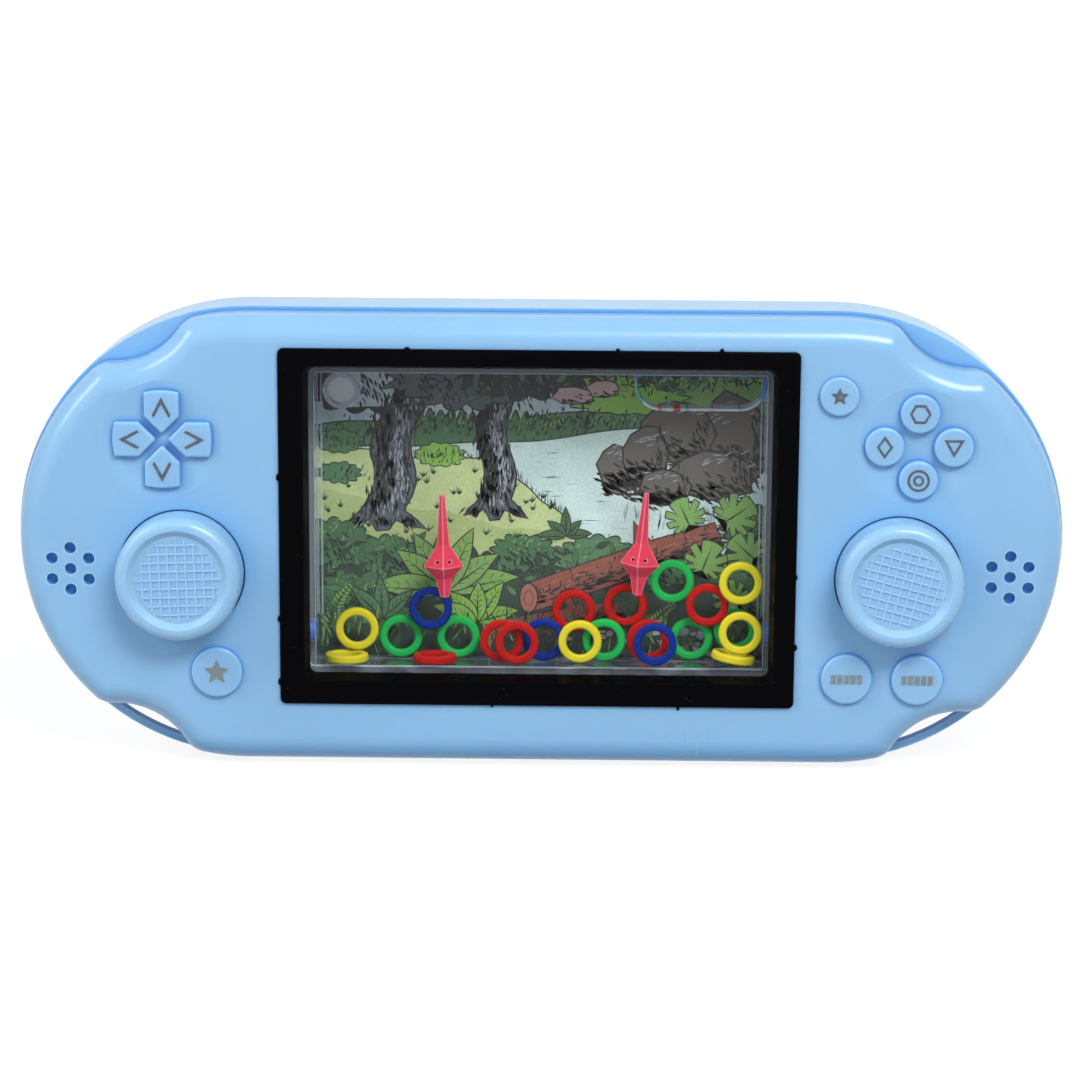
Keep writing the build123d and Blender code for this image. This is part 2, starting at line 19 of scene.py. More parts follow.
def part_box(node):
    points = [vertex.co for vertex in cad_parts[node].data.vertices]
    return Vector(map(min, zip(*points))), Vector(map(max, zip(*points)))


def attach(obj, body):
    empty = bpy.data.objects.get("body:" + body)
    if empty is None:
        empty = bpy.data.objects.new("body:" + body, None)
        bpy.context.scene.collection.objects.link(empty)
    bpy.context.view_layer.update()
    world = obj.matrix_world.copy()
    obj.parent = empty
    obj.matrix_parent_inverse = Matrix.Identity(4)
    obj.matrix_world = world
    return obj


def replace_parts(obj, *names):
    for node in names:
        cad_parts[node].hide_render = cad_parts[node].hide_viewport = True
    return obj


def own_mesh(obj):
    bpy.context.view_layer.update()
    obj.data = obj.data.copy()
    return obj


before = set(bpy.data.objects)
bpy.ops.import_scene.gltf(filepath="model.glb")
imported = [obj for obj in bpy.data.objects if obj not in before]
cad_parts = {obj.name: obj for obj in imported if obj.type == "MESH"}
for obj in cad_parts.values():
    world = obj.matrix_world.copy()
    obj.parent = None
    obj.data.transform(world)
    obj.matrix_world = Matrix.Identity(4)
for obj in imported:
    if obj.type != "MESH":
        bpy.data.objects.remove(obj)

Colour = tuple[float, float, float]
Flat = tuple[float, float]
Material = bpy.types.Material
Node = bpy.types.Node
Socket = bpy.types.NodeSocket
BMesh = bmesh.types.BMesh
BMFace = bmesh.types.BMFace
BMVert = bmesh.types.BMVert
Feed = Socket | float | Colour | Vector

HOUSING = "housing"

log = logging.getLogger("ring_toss")


def mm(value: float) -> float:
    """Millimetres as metres."""
    return value * 0.001


# ---------------------------------------------------------------- node trees


class Wiring:
    """A node tree with short calls to add and link its nodes."""

    def __init__(self, tree: bpy.types.NodeTree) -> None:
        """Keep the node tree of a material or a group."""
        self.tree = tree

    def node(self, kind: str, settings: dict | None = None, **sockets: Feed) -> Node:
        """Add a node.

        Args:
            kind: the node's type name after "ShaderNode".
            settings: properties of the node.
            sockets: what its inputs get; the names have _ for a space.

        Returns:
            The new node.
        """
        made = self.tree.nodes.new("ShaderNode" + kind)
        for key, value in (settings or {}).items():
            setattr(made, key, value)
        for key, value in sockets.items():
            self.put(made.inputs[key.replace("_", " ")], value)
        return made

    def put(self, socket: Socket, value: Feed) -> None:
        """Link a socket into another, or set a plain value on it.

        Args:
            socket: the input.
            value: an output socket, a number, a colour or a vector.
        """
        if isinstance(value, Socket):
            self.tree.links.new(value, socket)
        elif isinstance(value, tuple) and len(value) == 3 and socket.type == "RGBA":
            socket.default_value = (*value, 1.0)
        else:
            socket.default_value = value

    def filled(self, kind: str, values: Iterable[Feed], out: int = 0, at: Sequence[int] = range(5),
               **settings: str | bool | int) -> Socket:
        """Add a node whose inputs are filled by their places.

        Args:
            kind: the node's type name after "ShaderNode".
            values: what the inputs get, in order.
            out: which output is returned.
            at: the inputs' places.
            settings: properties of the node.

        Returns:
            The output.
        """
        made = self.node(kind, settings)
        for place, value in zip(at, values):
            self.put(made.inputs[place], value)
        return made.outputs[out]

    def maths(self, operation: str, *values: Feed, clamp: bool = False) -> Socket:
        """Result of a Math node."""
        return self.filled("Math", values, operation=operation, use_clamp=clamp)

    def times(self, first: Feed, second: Feed) -> Socket:
        """Product of two values."""
        return self.maths("MULTIPLY", first, second)

    def plus(self, first: Feed, second: Feed, clamp: bool = False) -> Socket:
        """Sum of two values."""
        return self.maths("ADD", first, second, clamp=clamp)

    def minus(self, first: Feed, second: Feed) -> Socket:
        """Difference of two values."""
        return self.maths("SUBTRACT", first, second)

    def larger(self, first: Feed, second: Feed) -> Socket:
        """The larger of two values."""
        return self.maths("MAXIMUM", first, second)

    def ramp(self, value: Feed, low: Feed, high: Feed, to_low: float = 0.0,
             to_high: float = 1.0) -> Socket:
        """A value mapped smoothly from one range to another."""
        return self.filled("MapRange", (value, low, high, to_low, to_high),
                           interpolation_type="SMOOTHSTEP")

    def mix(self, factor: Feed, first: Feed, second: Feed) -> Socket:
        """Mix of two colours."""
        return self.filled("Mix", (factor, first, second), 2, (0, 6, 7), data_type="RGBA")

    def blend(self, share: Feed, first: Socket, second: Socket) -> Socket:
        """Mix of two shaders."""
        return self.filled("MixShader", (share, first, second))

    def noise(self, place: Socket, scale: Feed, detail: float, **more: float) -> Socket:
        """Value of a noise texture."""
        return self.node("TexNoise", Vector=place, Scale=scale, Detail=detail, **more).outputs["Fac"]

    def relief(self, strength: float, distance: float, height: Socket) -> Socket:
        """Normal of a bumpy surface."""
        return self.node("Bump", Strength=strength, Distance=distance, Height=height).outputs["Normal"]

    def shader(self, **sockets: Feed) -> Socket:
        """Output of a Principled BSDF."""
        return self.node("BsdfPrincipled", **sockets).outputs["BSDF"]

    def from_axis(self, place: Socket, axis: Vector) -> Socket:
        """Distance from an axis along Y.

        Args:
            place: Object coordinates.
            axis: any spot on the axis.

        Returns:
            The distance.
        """
        flat = self.filled("VectorMath", (place, (1.0, 0.0, 1.0)), operation="MULTIPLY")
        middle = Vector((axis.x, 0.0, axis.z))
        return self.filled("VectorMath", (flat, middle), 1, operation="DISTANCE")


Given = Mapping[str, Socket]


def edge_light(w: Wiring, given: Given) -> tuple[Socket, ...]:
    """Corners, where a rounded normal leaves the true one.

    Args:
        w: the group's wiring.
        given: the group's inputs.

    Returns:
        The mask.
    """
    bevel = w.node("Bevel", {"samples": 4}, Radius=given["Width"]).outputs["Normal"]
    true = w.node("NewGeometry").outputs["Normal"]
    turned = w.minus(1.0, w.filled("VectorMath", (bevel, true), 1, operation="DOT_PRODUCT"))
    return (w.ramp(turned, 0.005, 0.2),)


def crevice(w: Wiring, given: Given) -> tuple[Socket, ...]:
    """Seams, holes and inner corners, where little of the sky is open.

    Args:
        w: the group's wiring.
        given: the group's inputs.

    Returns:
        Their mask, and the mask of free corners.
    """
    sky = w.node("AmbientOcclusion", {"samples": 6}, Distance=given["Reach"]).outputs["AO"]
    return w.ramp(sky, given["Open"], given["Shut"]), w.ramp(sky, 0.8, 0.97)


def moulded_skin(w: Wiring, given: Given) -> tuple[Socket, ...]:
    """Slow ripple of a moulded wall with its fine grain.

    Args:
        w: the group's wiring.
        given: the group's inputs.

    Returns:
        The height, and a slow mottle.
    """
    place = given["Vector"]
    slow = w.noise(place, given["Ripple Scale"], 1.0)
    grain = w.times(w.noise(place, given["Grain Scale"], 2.0), given["Grain"])
    mottle = w.noise(place, 55.0, 3.0, Roughness=0.6)
    return w.plus(slow, grain), w.ramp(mottle, 0.3, 0.7)


def hair_scratches(w: Wiring, given: Given) -> tuple[Socket, ...]:
    """Sparse hair scratches that run in three directions.

    Args:
        w: the group's wiring.
        given: the group's inputs.

    Returns:
        The mask.
    """
    lines = []
    for turn, squeeze in ((0.5, 900.0), (1.9, 1200.0), (2.7, 1000.0)):
        along = w.node("Mapping", {"vector_type": "POINT"}, Vector=given["Vector"],
                       Rotation=(0.0, turn, 0.0), Scale=(squeeze, 160.0, 120.0))
        lines.append(w.ramp(w.noise(along.outputs["Vector"], 1.0, 0.0), 0.73, 0.78))
    patch = w.noise(given["Vector"], 50.0, 2.0)
    return (w.times(reduce(w.larger, lines), w.ramp(patch, 0.55, 0.7)),)


def dust_specks(w: Wiring, given: Given) -> tuple[Socket, ...]:
    """Small specks, thinned by a patchy noise.

    Args:
        w: the group's wiring.
        given: the group's inputs.

    Returns:
        The mask.
    """
    cells = w.node("TexVoronoi", {"feature": "F1"}, Vector=given["Vector"], Scale=900.0)
    speck = w.ramp(cells.outputs["Distance"], 0.16, 0.08)
    return (w.times(speck, w.ramp(w.noise(given["Vector"], 260.0, 1.0), 0.56, 0.66)),)


def print_grain(w: Wiring, given: Given) -> tuple[Socket, ...]:
    """Uneven ink: paper fibre and slow patches.

    Args:
        w: the group's wiring.
        given: the group's inputs.

    Returns:
        One value round a half.
    """
    fibre, patch = w.noise(given["Vector"], 2600.0, 2.0), w.noise(given["Vector"], 170.0, 3.0)
    return (w.ramp(w.plus(w.times(fibre, 0.5), w.times(patch, 0.5)), 0.3, 0.7),)


PLACE = {"Vector": (0.0, 0.0, 0.0)}


class Effect(Enum):
    """The shared effects: what fills each one's group, its inputs and its outputs."""

    EDGE = (edge_light, {"Width": 0.0004}, ("Mask",))
    CREVICE = (crevice, {"Reach": 0.001, "Open": 0.78, "Shut": 0.42}, ("Mask", "Free"))
    SKIN = (moulded_skin, PLACE | {"Ripple Scale": 60.0, "Grain Scale": 1800.0, "Grain": 0.1},
            ("Height", "Mottle"))
    SCRATCHES = (hair_scratches, PLACE, ("Mask",))
    DUST = (dust_specks, PLACE, ("Mask",))
    PRINT = (print_grain, PLACE, ("Value",))

    def group(self) -> bpy.types.NodeTree:
        """The effect's node group, made at its first use.

        Returns:
            The group's tree.
        """
        fill, inputs, outputs = self.value
        found = bpy.data.node_groups.get(fill.__name__)
        if found:
            return found
        tree = bpy.data.node_groups.new(fill.__name__, "ShaderNodeTree")
        for key, default in inputs.items():
            kind = "Vector" if isinstance(default, tuple) else "Float"
            socket = tree.interface.new_socket(key, in_out="INPUT", socket_type="NodeSocket" + kind)
            socket.default_value = default
        for key in outputs:
            tree.interface.new_socket(key, in_out="OUTPUT", socket_type="NodeSocketFloat")
        w = Wiring(tree)
        given, result = tree.nodes.new("NodeGroupInput"), tree.nodes.new("NodeGroupOutput")
        for key, value in zip(outputs, fill(w, given.outputs)):
            w.put(result.inputs[key], value)
        return tree

    def place(self, w: Wiring, **sockets: Feed) -> Given:
        """Put the effect's group into a material.

        Args:
            w: the material's wiring.
            sockets: what the group's inputs get.

        Returns:
            The group's outputs by name.
        """
        return w.node("Group", {"node_tree": self.group()}, **sockets).outputs


# ---------------------------------------------------------------- finishes


@dataclass(frozen=True)
class Finish:
    """A named material; each kind of finish says what its surface is. Lengths are in metres."""

    name: str

    def make(self) -> Material:
        """Build the material.

        Returns:
            The material.
        """
        made = bpy.data.materials.new(self.name)
        made.use_nodes = True
        made.node_tree.nodes.clear()
        w = Wiring(made.node_tree)
        place = w.node("TexCoord").outputs["Object"]
        w.put(w.node("OutputMaterial").inputs["Surface"], self.surface(w, place))
        return made

    def surface(self, w: Wiring, place: Socket) -> Socket:
        """Wire the surface.

        Args:
            w: the material's wiring.
            place: Object coordinates.

        Returns:
            The shader's output.
        """
        raise NotImplementedError


@dataclass(frozen=True)
class Moulded(Finish):
    """Injection-moulded plastic.

    The edge colour is a painted highlight along rounded corners, the crevice-shade one is painted shade
    in seams and holes, and the shaded one is painted shade in the lee of what stands out.
    """

    colour: Colour
    # painted highlight along rounded corners
    edge: Colour
    roughness: float = 0.24
    mottle: float = 0.05
    edge_width: float = 0.0004
    edge_share: float = 0.5
    ripple: float = 0.00004
    grain: float = 0.08
    scratches: float = 0.3
    dust: float = 0.0
    subsurface: float = 0.0
    subsurface_reach: float = 0.001
    ior: float = 1.5
    # painted shade in seams, holes and inner corners, where the ambient-occlusion mask closes
    crevice_shade: Colour | None = None
    crevice_shade_reach: float = 0.001
    crevice_shade_open: float = 0.78
    crevice_shade_shut: float = 0.42
    # painted shade in the lee of raised parts
    shaded: Colour | None = None
    shaded_reach: float = 0.008
    shaded_open: float = 0.93
    shaded_shut: float = 0.5
    satin: tuple[Vector, float] | None = None
    satin_rim: float = mm(0.3)
    satin_share: float = 0.16
    mottled: float = 0.96
    dust_colour: Colour = (0.55, 0.53, 0.5)

    def surface(self, w: Wiring, place: Socket) -> Socket:
        """Wire the plastic's surface.

        Args:
            w: the material's wiring.
            place: Object coordinates.

        Returns:
            The shader's output.
        """
        skin = Effect.SKIN.place(w, Vector=place, Grain=self.grain)
        worn = w.times(Effect.SCRATCHES.place(w, Vector=place)["Mask"], self.scratches)
        roughness = w.plus(self.roughness, w.times(skin["Mottle"], self.mottle))
        if self.satin:
            centre, radius = self.satin
            inside = w.ramp(w.from_axis(place, centre), radius, radius - self.satin_rim)
            roughness = w.plus(roughness, w.times(inside, self.satin_share), clamp=True)
        height = w.minus(skin["Height"], w.times(worn, 0.2))
        sockets = {
            "Base_Color": self.body(w, place, skin["Mottle"]),
            "Roughness": w.plus(roughness, w.times(worn, 0.35), clamp=True),
            "IOR": self.ior,
            "Normal": w.relief(1.0, self.ripple, height),
        }
        if self.subsurface:
            sockets |= {"Subsurface_Weight": self.subsurface, "Subsurface_Scale": self.subsurface_reach,
                        "Subsurface_Radius": (0.25, 0.55, 1.0)}
        return w.shader(**sockets)

    def body(self, w: Wiring, place: Socket, mottle: Socket) -> Socket:
        """Wire the colour, with its painted edge highlight and painted shade.

        Args:
            w: the material's wiring.
            place: Object coordinates.
            mottle: the skin's slow mottle.

        Returns:
            The colour.
        """
        colour = w.mix(mottle, self.colour, tuple(self.mottled * part for part in self.colour))
        # painted highlight along rounded corners, kept off shut corners
        edge = Effect.EDGE.place(w, Width=self.edge_width)["Mask"]
        # painted shade: darker colours in crevices and in the lee of raised parts, by ambient occlusion
        if self.crevice_shade:
            shade = Effect.CREVICE.place(w, Reach=self.crevice_shade_reach, Open=self.crevice_shade_open,
                                         Shut=self.crevice_shade_shut)
            edge = w.times(edge, shade["Free"])
            if self.shaded:
                lee = Effect.CREVICE.place(w, Reach=self.shaded_reach, Open=self.shaded_open,
                                           Shut=self.shaded_shut)
                colour = w.mix(lee["Mask"], colour, self.shaded)
            colour = w.mix(shade["Mask"], colour, self.crevice_shade)
        colour = w.mix(w.times(edge, self.edge_share), colour, self.edge)
        specks = w.times(Effect.DUST.place(w, Vector=place)["Mask"], self.dust)
        return w.mix(specks, colour, self.dust_colour)


@dataclass(frozen=True)
class ClearWall(Finish):
    """Clear styrene with water against its inner faces and air against its outer ones.

    The water side is inside the given box, and within the bore about an axis along Y.
    """

    low: Vector
    high: Vector
    bore_axis: Vector | None = None
    bore_radius: float = 0.0
    tint: Colour = (0.975, 0.985, 0.99)
    air_ior: float = 1.57
    water_ior: float = 1.18
    reflection: float = 0.12
    side_reflection: float = 0.45
    # pale lit colour mixed into the clear wall: painted glints on its edges and on the filler neck's
    # rim, and a faint painted veil over its side walls
    painted_glint: Colour = (0.74, 0.80, 0.88)
    painted_edge_glint: float = 0.95
    edge_width: float = mm(0.28)
    painted_wall_veil: float = 0.03
    painted_neck_glint: float = 0.55
    neck_radius: float = 0.0031

    def surface(self, w: Wiring, place: Socket) -> Socket:
        """Wire the clear wall's surface.

        Args:
            w: the material's wiring.
            place: Object coordinates.

        Returns:
            The shader's output.
        """
        wet = self.inside(w, place, "XYZ")
        side = w.minus(1.0, self.inside(w, place, "XZ"))
        # painted glints: the pale lit colour on edges and the neck's rim, faintly on the side walls
        edge = w.times(Effect.EDGE.place(w, Width=self.edge_width)["Mask"], self.painted_edge_glint)
        share = w.larger(edge, w.times(side, self.painted_wall_veil))
        if self.bore_axis is not None:
            away = w.from_axis(place, self.bore_axis)
            bore = w.maths("LESS_THAN", away, self.bore_radius)
            wet = w.larger(wet, bore)
            neck = w.minus(w.maths("LESS_THAN", away, self.neck_radius), bore)
            share = w.larger(share, w.times(neck, self.painted_neck_glint))
        skin = Effect.SKIN.place(w, Vector=place, Grain=0.02)
        marks = Effect.SCRATCHES.place(w, Vector=place)["Mask"]
        glass = w.shader(
            Base_Color=self.tint,
            IOR=w.plus(w.times(wet, self.water_ior - self.air_ior), self.air_ior),
            Roughness=w.times(marks, 0.1),
            Transmission_Weight=1.0,
            Normal=w.relief(0.5, mm(0.006), skin["Height"]),
            Specular_Tint=w.mix(side, (self.reflection,) * 3, (self.side_reflection,) * 3),
        )
        painted_glint = w.shader(Base_Color=self.painted_glint, Roughness=0.2)
        return lamp_light_through(w, w.blend(share, glass, painted_glint), self.tint)

    def inside(self, w: Wiring, place: Socket, axes: str) -> Socket:
        """Whether a spot is inside the wet box along some axes.

        Args:
            w: the material's wiring.
            place: Object coordinates.
            axes: names of the axes that count.

        Returns:
            One inside and nought outside.
        """
        parts = w.node("SeparateXYZ", Vector=place).outputs
        held = []
        for name in axes:
            axis = "XYZ".index(name)
            above = w.maths("GREATER_THAN", parts[name], self.low[axis])
            held.append(w.times(above, w.maths("LESS_THAN", parts[name], self.high[axis])))
        return reduce(w.times, held)


def lamp_light_through(w: Wiring, glass: Socket, tint: Colour) -> Socket:
    """Let lamps and bounced light pass a clear wall straight.

    Args:
        w: the material's wiring.
        glass: the glass shader's output.
        tint: colour of the light that passes.

    Returns:
        The mixed shader's output.
    """
    path = w.node("LightPath").outputs
    soft = w.larger(path["Is Shadow Ray"], path["Is Diffuse Ray"])
    return w.blend(soft, glass, w.node("BsdfTransparent", Color=tint).outputs["BSDF"])


@dataclass(frozen=True)
class AirInWater(Finish):
    """Rim of a flat air bubble under water: clear where it is seen straight on.

    Its rim's pale colour is a painted reflection, painted bluer just under the ceiling and at its end,
    with painted red and green reflections between.
    """

    ceiling: float
    end: float
    # painted reflection colours of the bubble's rim
    plain: Colour = (0.80, 0.84, 0.87)
    red: Colour = (0.80, 0.10, 0.06)
    green: Colour = (0.12, 0.50, 0.44)
    blue: Colour = (0.16, 0.44, 0.95)

    def surface(self, w: Wiring, place: Socket) -> Socket:
        """Wire the bubble's surface.

        Args:
            w: the material's wiring.
            place: Object coordinates.

        Returns:
            The shader's output.
        """
        parts = w.node("SeparateXYZ", Vector=place).outputs
        streak = w.node("TexNoise", {"noise_dimensions": "1D"}, W=parts["X"], Scale=330.0, Detail=1.0)
        streak = streak.outputs["Fac"]
        # painted reflections: red and green streaks along the rim, blue under the ceiling and at the end
        tinted = w.mix(w.ramp(streak, 0.58, 0.66), self.plain, self.red)
        tinted = w.mix(w.ramp(streak, 0.42, 0.34), tinted, self.green)
        high = w.ramp(parts["Z"], self.ceiling - mm(1.2), self.ceiling - mm(0.5))
        end = w.ramp(parts["X"], self.end - mm(1.6), self.end - mm(0.9))
        shine = w.shader(Base_Color=w.mix(w.larger(high, end), tinted, self.blue), Roughness=0.12)
        facing = w.node("LayerWeight", Blend=0.5).outputs["Facing"]
        clear = w.node("BsdfTransparent", Color=(0.97, 0.98, 0.99)).outputs["BSDF"]
        rim = w.blend(w.times(w.ramp(facing, 0.12, 0.6), 0.92), clear, shine)
        return lamp_light_through(w, rim, (1.0, 1.0, 1.0))


@dataclass(frozen=True)
class Rubber(Finish):
    """Soft rubber with a dusty bloom."""

    colour: Colour
    roughness: float = 0.55

    def surface(self, w: Wiring, place: Socket) -> Socket:
        """Wire the rubber's surface.

        Args:
            w: the material's wiring.
            place: Object coordinates.

        Returns:
            The shader's output.
        """
        skin = Effect.SKIN.place(w, Vector=place, Grain=0.6)
        paler = tuple(min(1.0, 1.35 * part + 0.02) for part in self.colour)
        return w.shader(
            Base_Color=w.mix(w.times(skin["Mottle"], 0.5), self.colour, paler),
            Roughness=w.plus(self.roughness, w.times(skin["Mottle"], 0.15)),
            Normal=w.relief(0.7, mm(0.03), skin["Height"]),
        )


@dataclass(frozen=True)
class PlatedSteel(Finish):
    """Zinc-plated screw with turning marks and worn slots."""

    colour: Colour = (0.56, 0.57, 0.58)
    edge: Colour = (0.75, 0.76, 0.77)

    def surface(self, w: Wiring, place: Socket) -> Socket:
        """Wire the steel's surface.

        Args:
            w: the material's wiring.
            place: Object coordinates.

        Returns:
            The shader's output.
        """
        worn = Effect.EDGE.place(w, Width=mm(0.15))["Mask"]
        skin = Effect.SKIN.place(w, Vector=place, Grain=0.5)
        marks = Effect.SCRATCHES.place(w, Vector=place)["Mask"]
        return w.shader(
            Base_Color=w.mix(w.times(worn, 0.6), self.colour, self.edge),
            Roughness=w.plus(0.28, w.times(skin["Mottle"], 0.2)),
            Metallic=1.0,
            Normal=w.relief(0.8, mm(0.02), w.minus(skin["Height"], w.times(marks, 0.5))),
        )


@dataclass(frozen=True)
class PadInk(Finish):
    """Pad-printed ink on a key: thin, slightly patchy, worn at its edges."""

    colour: Colour
    worn: Colour

    def surface(self, w: Wiring, place: Socket) -> Socket:
        """Wire the ink's surface.

        Args:
            w: the material's wiring.
            place: Object coordinates.

        Returns:
            The shader's output.
        """
        patch = w.noise(place, 1500.0, 3.0, Roughness=0.7)
        return w.shader(
            Base_Color=w.mix(w.ramp(patch, 0.48, 0.7), self.colour, self.worn),
            Roughness=0.5,
            Normal=w.relief(0.5, mm(0.01), patch),
        )


@dataclass(frozen=True)
class PrintInk(Finish):
    """Offset ink on coated card."""

    colour: Colour
    spread: float = 0.16

    def surface(self, w: Wiring, place: Socket) -> Socket:
        """Wire the print's surface.

        Args:
            w: the material's wiring.
            place: Object coordinates.

        Returns:
            The shader's output.
        """
        grain = Effect.PRINT.place(w, Vector=place)["Value"]
        low = tuple(part * (1.0 - self.spread) for part in self.colour)
        high = tuple(min(1.0, part * (1.0 + self.spread)) for part in self.colour)
        return w.shader(Base_Color=w.mix(grain, low, high), Roughness=w.plus(0.45, w.times(grain, 0.1)))


# ---------------------------------------------------------------- pieces


def dress(nodes: Iterable[str], finish: Material) -> None:
    """Give CAD nodes one finish.

    Args:
        nodes: their names.
        finish: the finish.
    """
    for node in nodes:
        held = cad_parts[node]
        held.data.materials.clear()
        held.data.materials.append(finish)
        log.info("dressed %s in %s", node, finish.name)


def piece(name: str, bm: BMesh, finishes: Iterable[Material],
          smooth_angle: float | None = None) -> bpy.types.Object:
    """Turn a bmesh into a finished piece that rides on the housing.

    Args:
        name: the piece's name.
        bm: its shape in the frame's axes; it is freed.
        finishes: materials by index.
        smooth_angle: faces flatter to each other than this, in radians, shade smoothly.

    Returns:
        The object.
    """
    mesh = bpy.data.meshes.new(name)
    bm.to_mesh(mesh)
    bm.free()
    for finish in finishes:
        mesh.materials.append(finish)
    if smooth_angle is not None:
        mesh.shade_smooth()
        mesh.set_sharp_from_angle(angle=smooth_angle)
    made = bpy.data.objects.new(name, mesh)
    bpy.context.scene.collection.objects.link(made)
    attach(made, HOUSING)
    log.info("built %s: %d faces", name, len(mesh.polygons))
    return made


def to_front(faces: Iterable[BMFace]) -> None:
    """Turn flat faces towards the viewer.

    Args:
        faces: the faces.
    """
    for face in faces:
        face.normal_update()
        if face.normal.y > 0:
            face.normal_flip()


def face_of(bm: BMesh, outline: Iterable[Flat], y: float) -> BMFace:
    """Flat face that looks towards the viewer.

    Args:
        bm: the mesh that gets it.
        outline: its corners as (x, z).
        y: its depth.

    Returns:
        The face.
    """
    made = bm.faces.new([bm.verts.new((x, y, z)) for x, z in outline])
    to_front([made])
    return made


def thicken(bm: BMesh, faces: Iterable[BMFace], depth: float, keep: bool = False) -> None:
    """Grow flat faces along Y into closed shapes.

    Args:
        bm: the mesh.
        faces: the flat faces.
        depth: how far, away from the viewer.
        keep: whether the first faces stay as one side.
    """
    grown = bmesh.ops.extrude_face_region(bm, geom=list(faces), use_keep_orig=keep)
    moved = [part for part in grown["geom"] if isinstance(part, BMVert)]
    bmesh.ops.translate(bm, verts=moved, vec=(0, depth, 0))
    bmesh.ops.recalc_face_normals(bm, faces=bm.faces[:])


def round_outline(centre: Flat, radius: float, count: int, start: float = 0.0,
                  squeeze: float = 1.0) -> list[Flat]:
    """Corners of a regular outline.

    Args:
        centre: its middle.
        radius: reach of its corners.
        count: how many corners.
        start: direction of the first, in radians.
        squeeze: how narrow it is along X.

    Returns:
        The corners.
    """
    turns = [start + math.tau * turn / count for turn in range(count)]
    return [(centre[0] + squeeze * radius * math.cos(turn), centre[1] + radius * math.sin(turn))
            for turn in turns]


@dataclass(frozen=True)
class Marks:
    """Pad-printed marks on the keys: places and sizes in metres, as on the front shell."""

    pad: Flat = (mm(-64.06), mm(57.45))
    pad_key_reach: float = mm(5.75)
    chevron_length: float = mm(1.55)
    chevron_half: float = mm(1.6)
    chevron_line: float = mm(0.56)
    cluster: Flat = (mm(64.05), mm(57.25))
    cluster_reach: Flat = (mm(5.85), mm(5.7))
    line: float = mm(0.42)
    ring_corners: int = 40
    small_star: Flat = (mm(50.4), mm(65.8))
    large_star: Flat = (mm(-55.3), mm(16.9))
    star_waist: float = 0.47
    bar_buttons: tuple[Flat, Flat] = ((mm(52.75), mm(16.75)), (mm(64.85), mm(16.7)))
    blocks: int = 5
    block_pitch: float = mm(1.12)
    block: Flat = (mm(0.86), mm(1.6))
    thickness: float = mm(0.03)
    key_rise: float = mm(0.95)

    def build(self, face_y: float, dark: Material, pale: Material) -> None:
        """Build the marks of both sides on the tops of the keys.

        Args:
            face_y: depth of the shell's face.
            dark: ink of the small keys.
            pale: ink of the large ones.
        """
        for name, ink, draw in (
            ("direction_marks", dark, self.chevrons),
            ("face_button_marks", dark, self.figures),
            ("small_star_mark", dark, lambda bm, y: self.star(bm, y, self.small_star, mm(1.6))),
            ("large_star_mark", pale, lambda bm, y: self.star(bm, y, self.large_star, mm(2.25))),
            ("bar_marks", pale, self.bars),
        ):
            bm = bmesh.new()
            draw(bm, face_y - self.key_rise)
            thicken(bm, bm.faces, -self.thickness)
            piece(name, bm, [ink])

    def chevrons(self, bm: BMesh, y: float) -> None:
        """An open arrow on each key of the direction pad.

        Args:
            bm: the marks' mesh.
            y: depth of the keys' tops.
        """
        length, half = self.chevron_length, self.chevron_half
        slant = self.chevron_line * math.hypot(length * 2, half) / half
        tail = -length - slant * 0.35
        shape = [(length, 0), (-length, half), (tail, half * 0.8), (length - slant, 0),
                 (tail, -half * 0.8), (-length, -half)]
        for quarter in range(4):
            turn = Matrix.Rotation(quarter * math.pi / 2, 2)
            corners = [turn @ Vector((x + self.pad_key_reach, z)) for x, z in shape]
            face_of(bm, [(self.pad[0] + c.x, self.pad[1] + c.y) for c in corners], y)

    def figures(self, bm: BMesh, y: float) -> None:
        """Hexagon, diamond, triangle and ringed circle on the four face buttons.

        Args:
            bm: the marks' mesh.
            y: depth of the keys' tops.
        """
        x, z = self.cluster
        dx, dz = self.cluster_reach
        for outline in (
            round_outline((x, z + dz), mm(1.85), 6),
            round_outline((x - dx, z), mm(2.0), 4, squeeze=0.7),
            round_outline((x + dx, z + mm(0.35)), mm(2.0), 3, -math.pi / 2),
            round_outline((x, z - dz), mm(1.9), self.ring_corners),
            round_outline((x, z - dz), mm(0.95), self.ring_corners),
        ):
            face = face_of(bm, outline, y)
            bmesh.ops.inset_region(bm, faces=[face], thickness=self.line, use_boundary=True,
                                   use_even_offset=True)
            bmesh.ops.delete(bm, geom=[face], context="FACES_ONLY")

    def star(self, bm: BMesh, y: float, centre: Flat, radius: float) -> None:
        """A five-pointed star.

        Args:
            bm: the marks' mesh.
            y: depth of the key's top.
            centre: its middle.
            radius: reach of its tips.
        """
        tips = round_outline(centre, radius, 5, math.pi / 2)
        waist = round_outline(centre, radius * self.star_waist, 5, math.pi / 2 + math.pi / 5)
        face_of(bm, [corner for pair in zip(tips, waist) for corner in pair], y)

    def bars(self, bm: BMesh, y: float) -> None:
        """A plain row of blocks on each of the two lower round buttons.

        Args:
            bm: the marks' mesh.
            y: depth of the buttons' tops.
        """
        width, height = self.block
        for x, z in self.bar_buttons:
            for block in range(self.blocks):
                middle = x + (block - (self.blocks - 1) / 2) * self.block_pitch
                face_of(bm, [(middle + across * width / 2, z + up * height / 2)
                             for across, up in ((-1, -1), (1, -1), (1, 1), (-1, 1))], y)


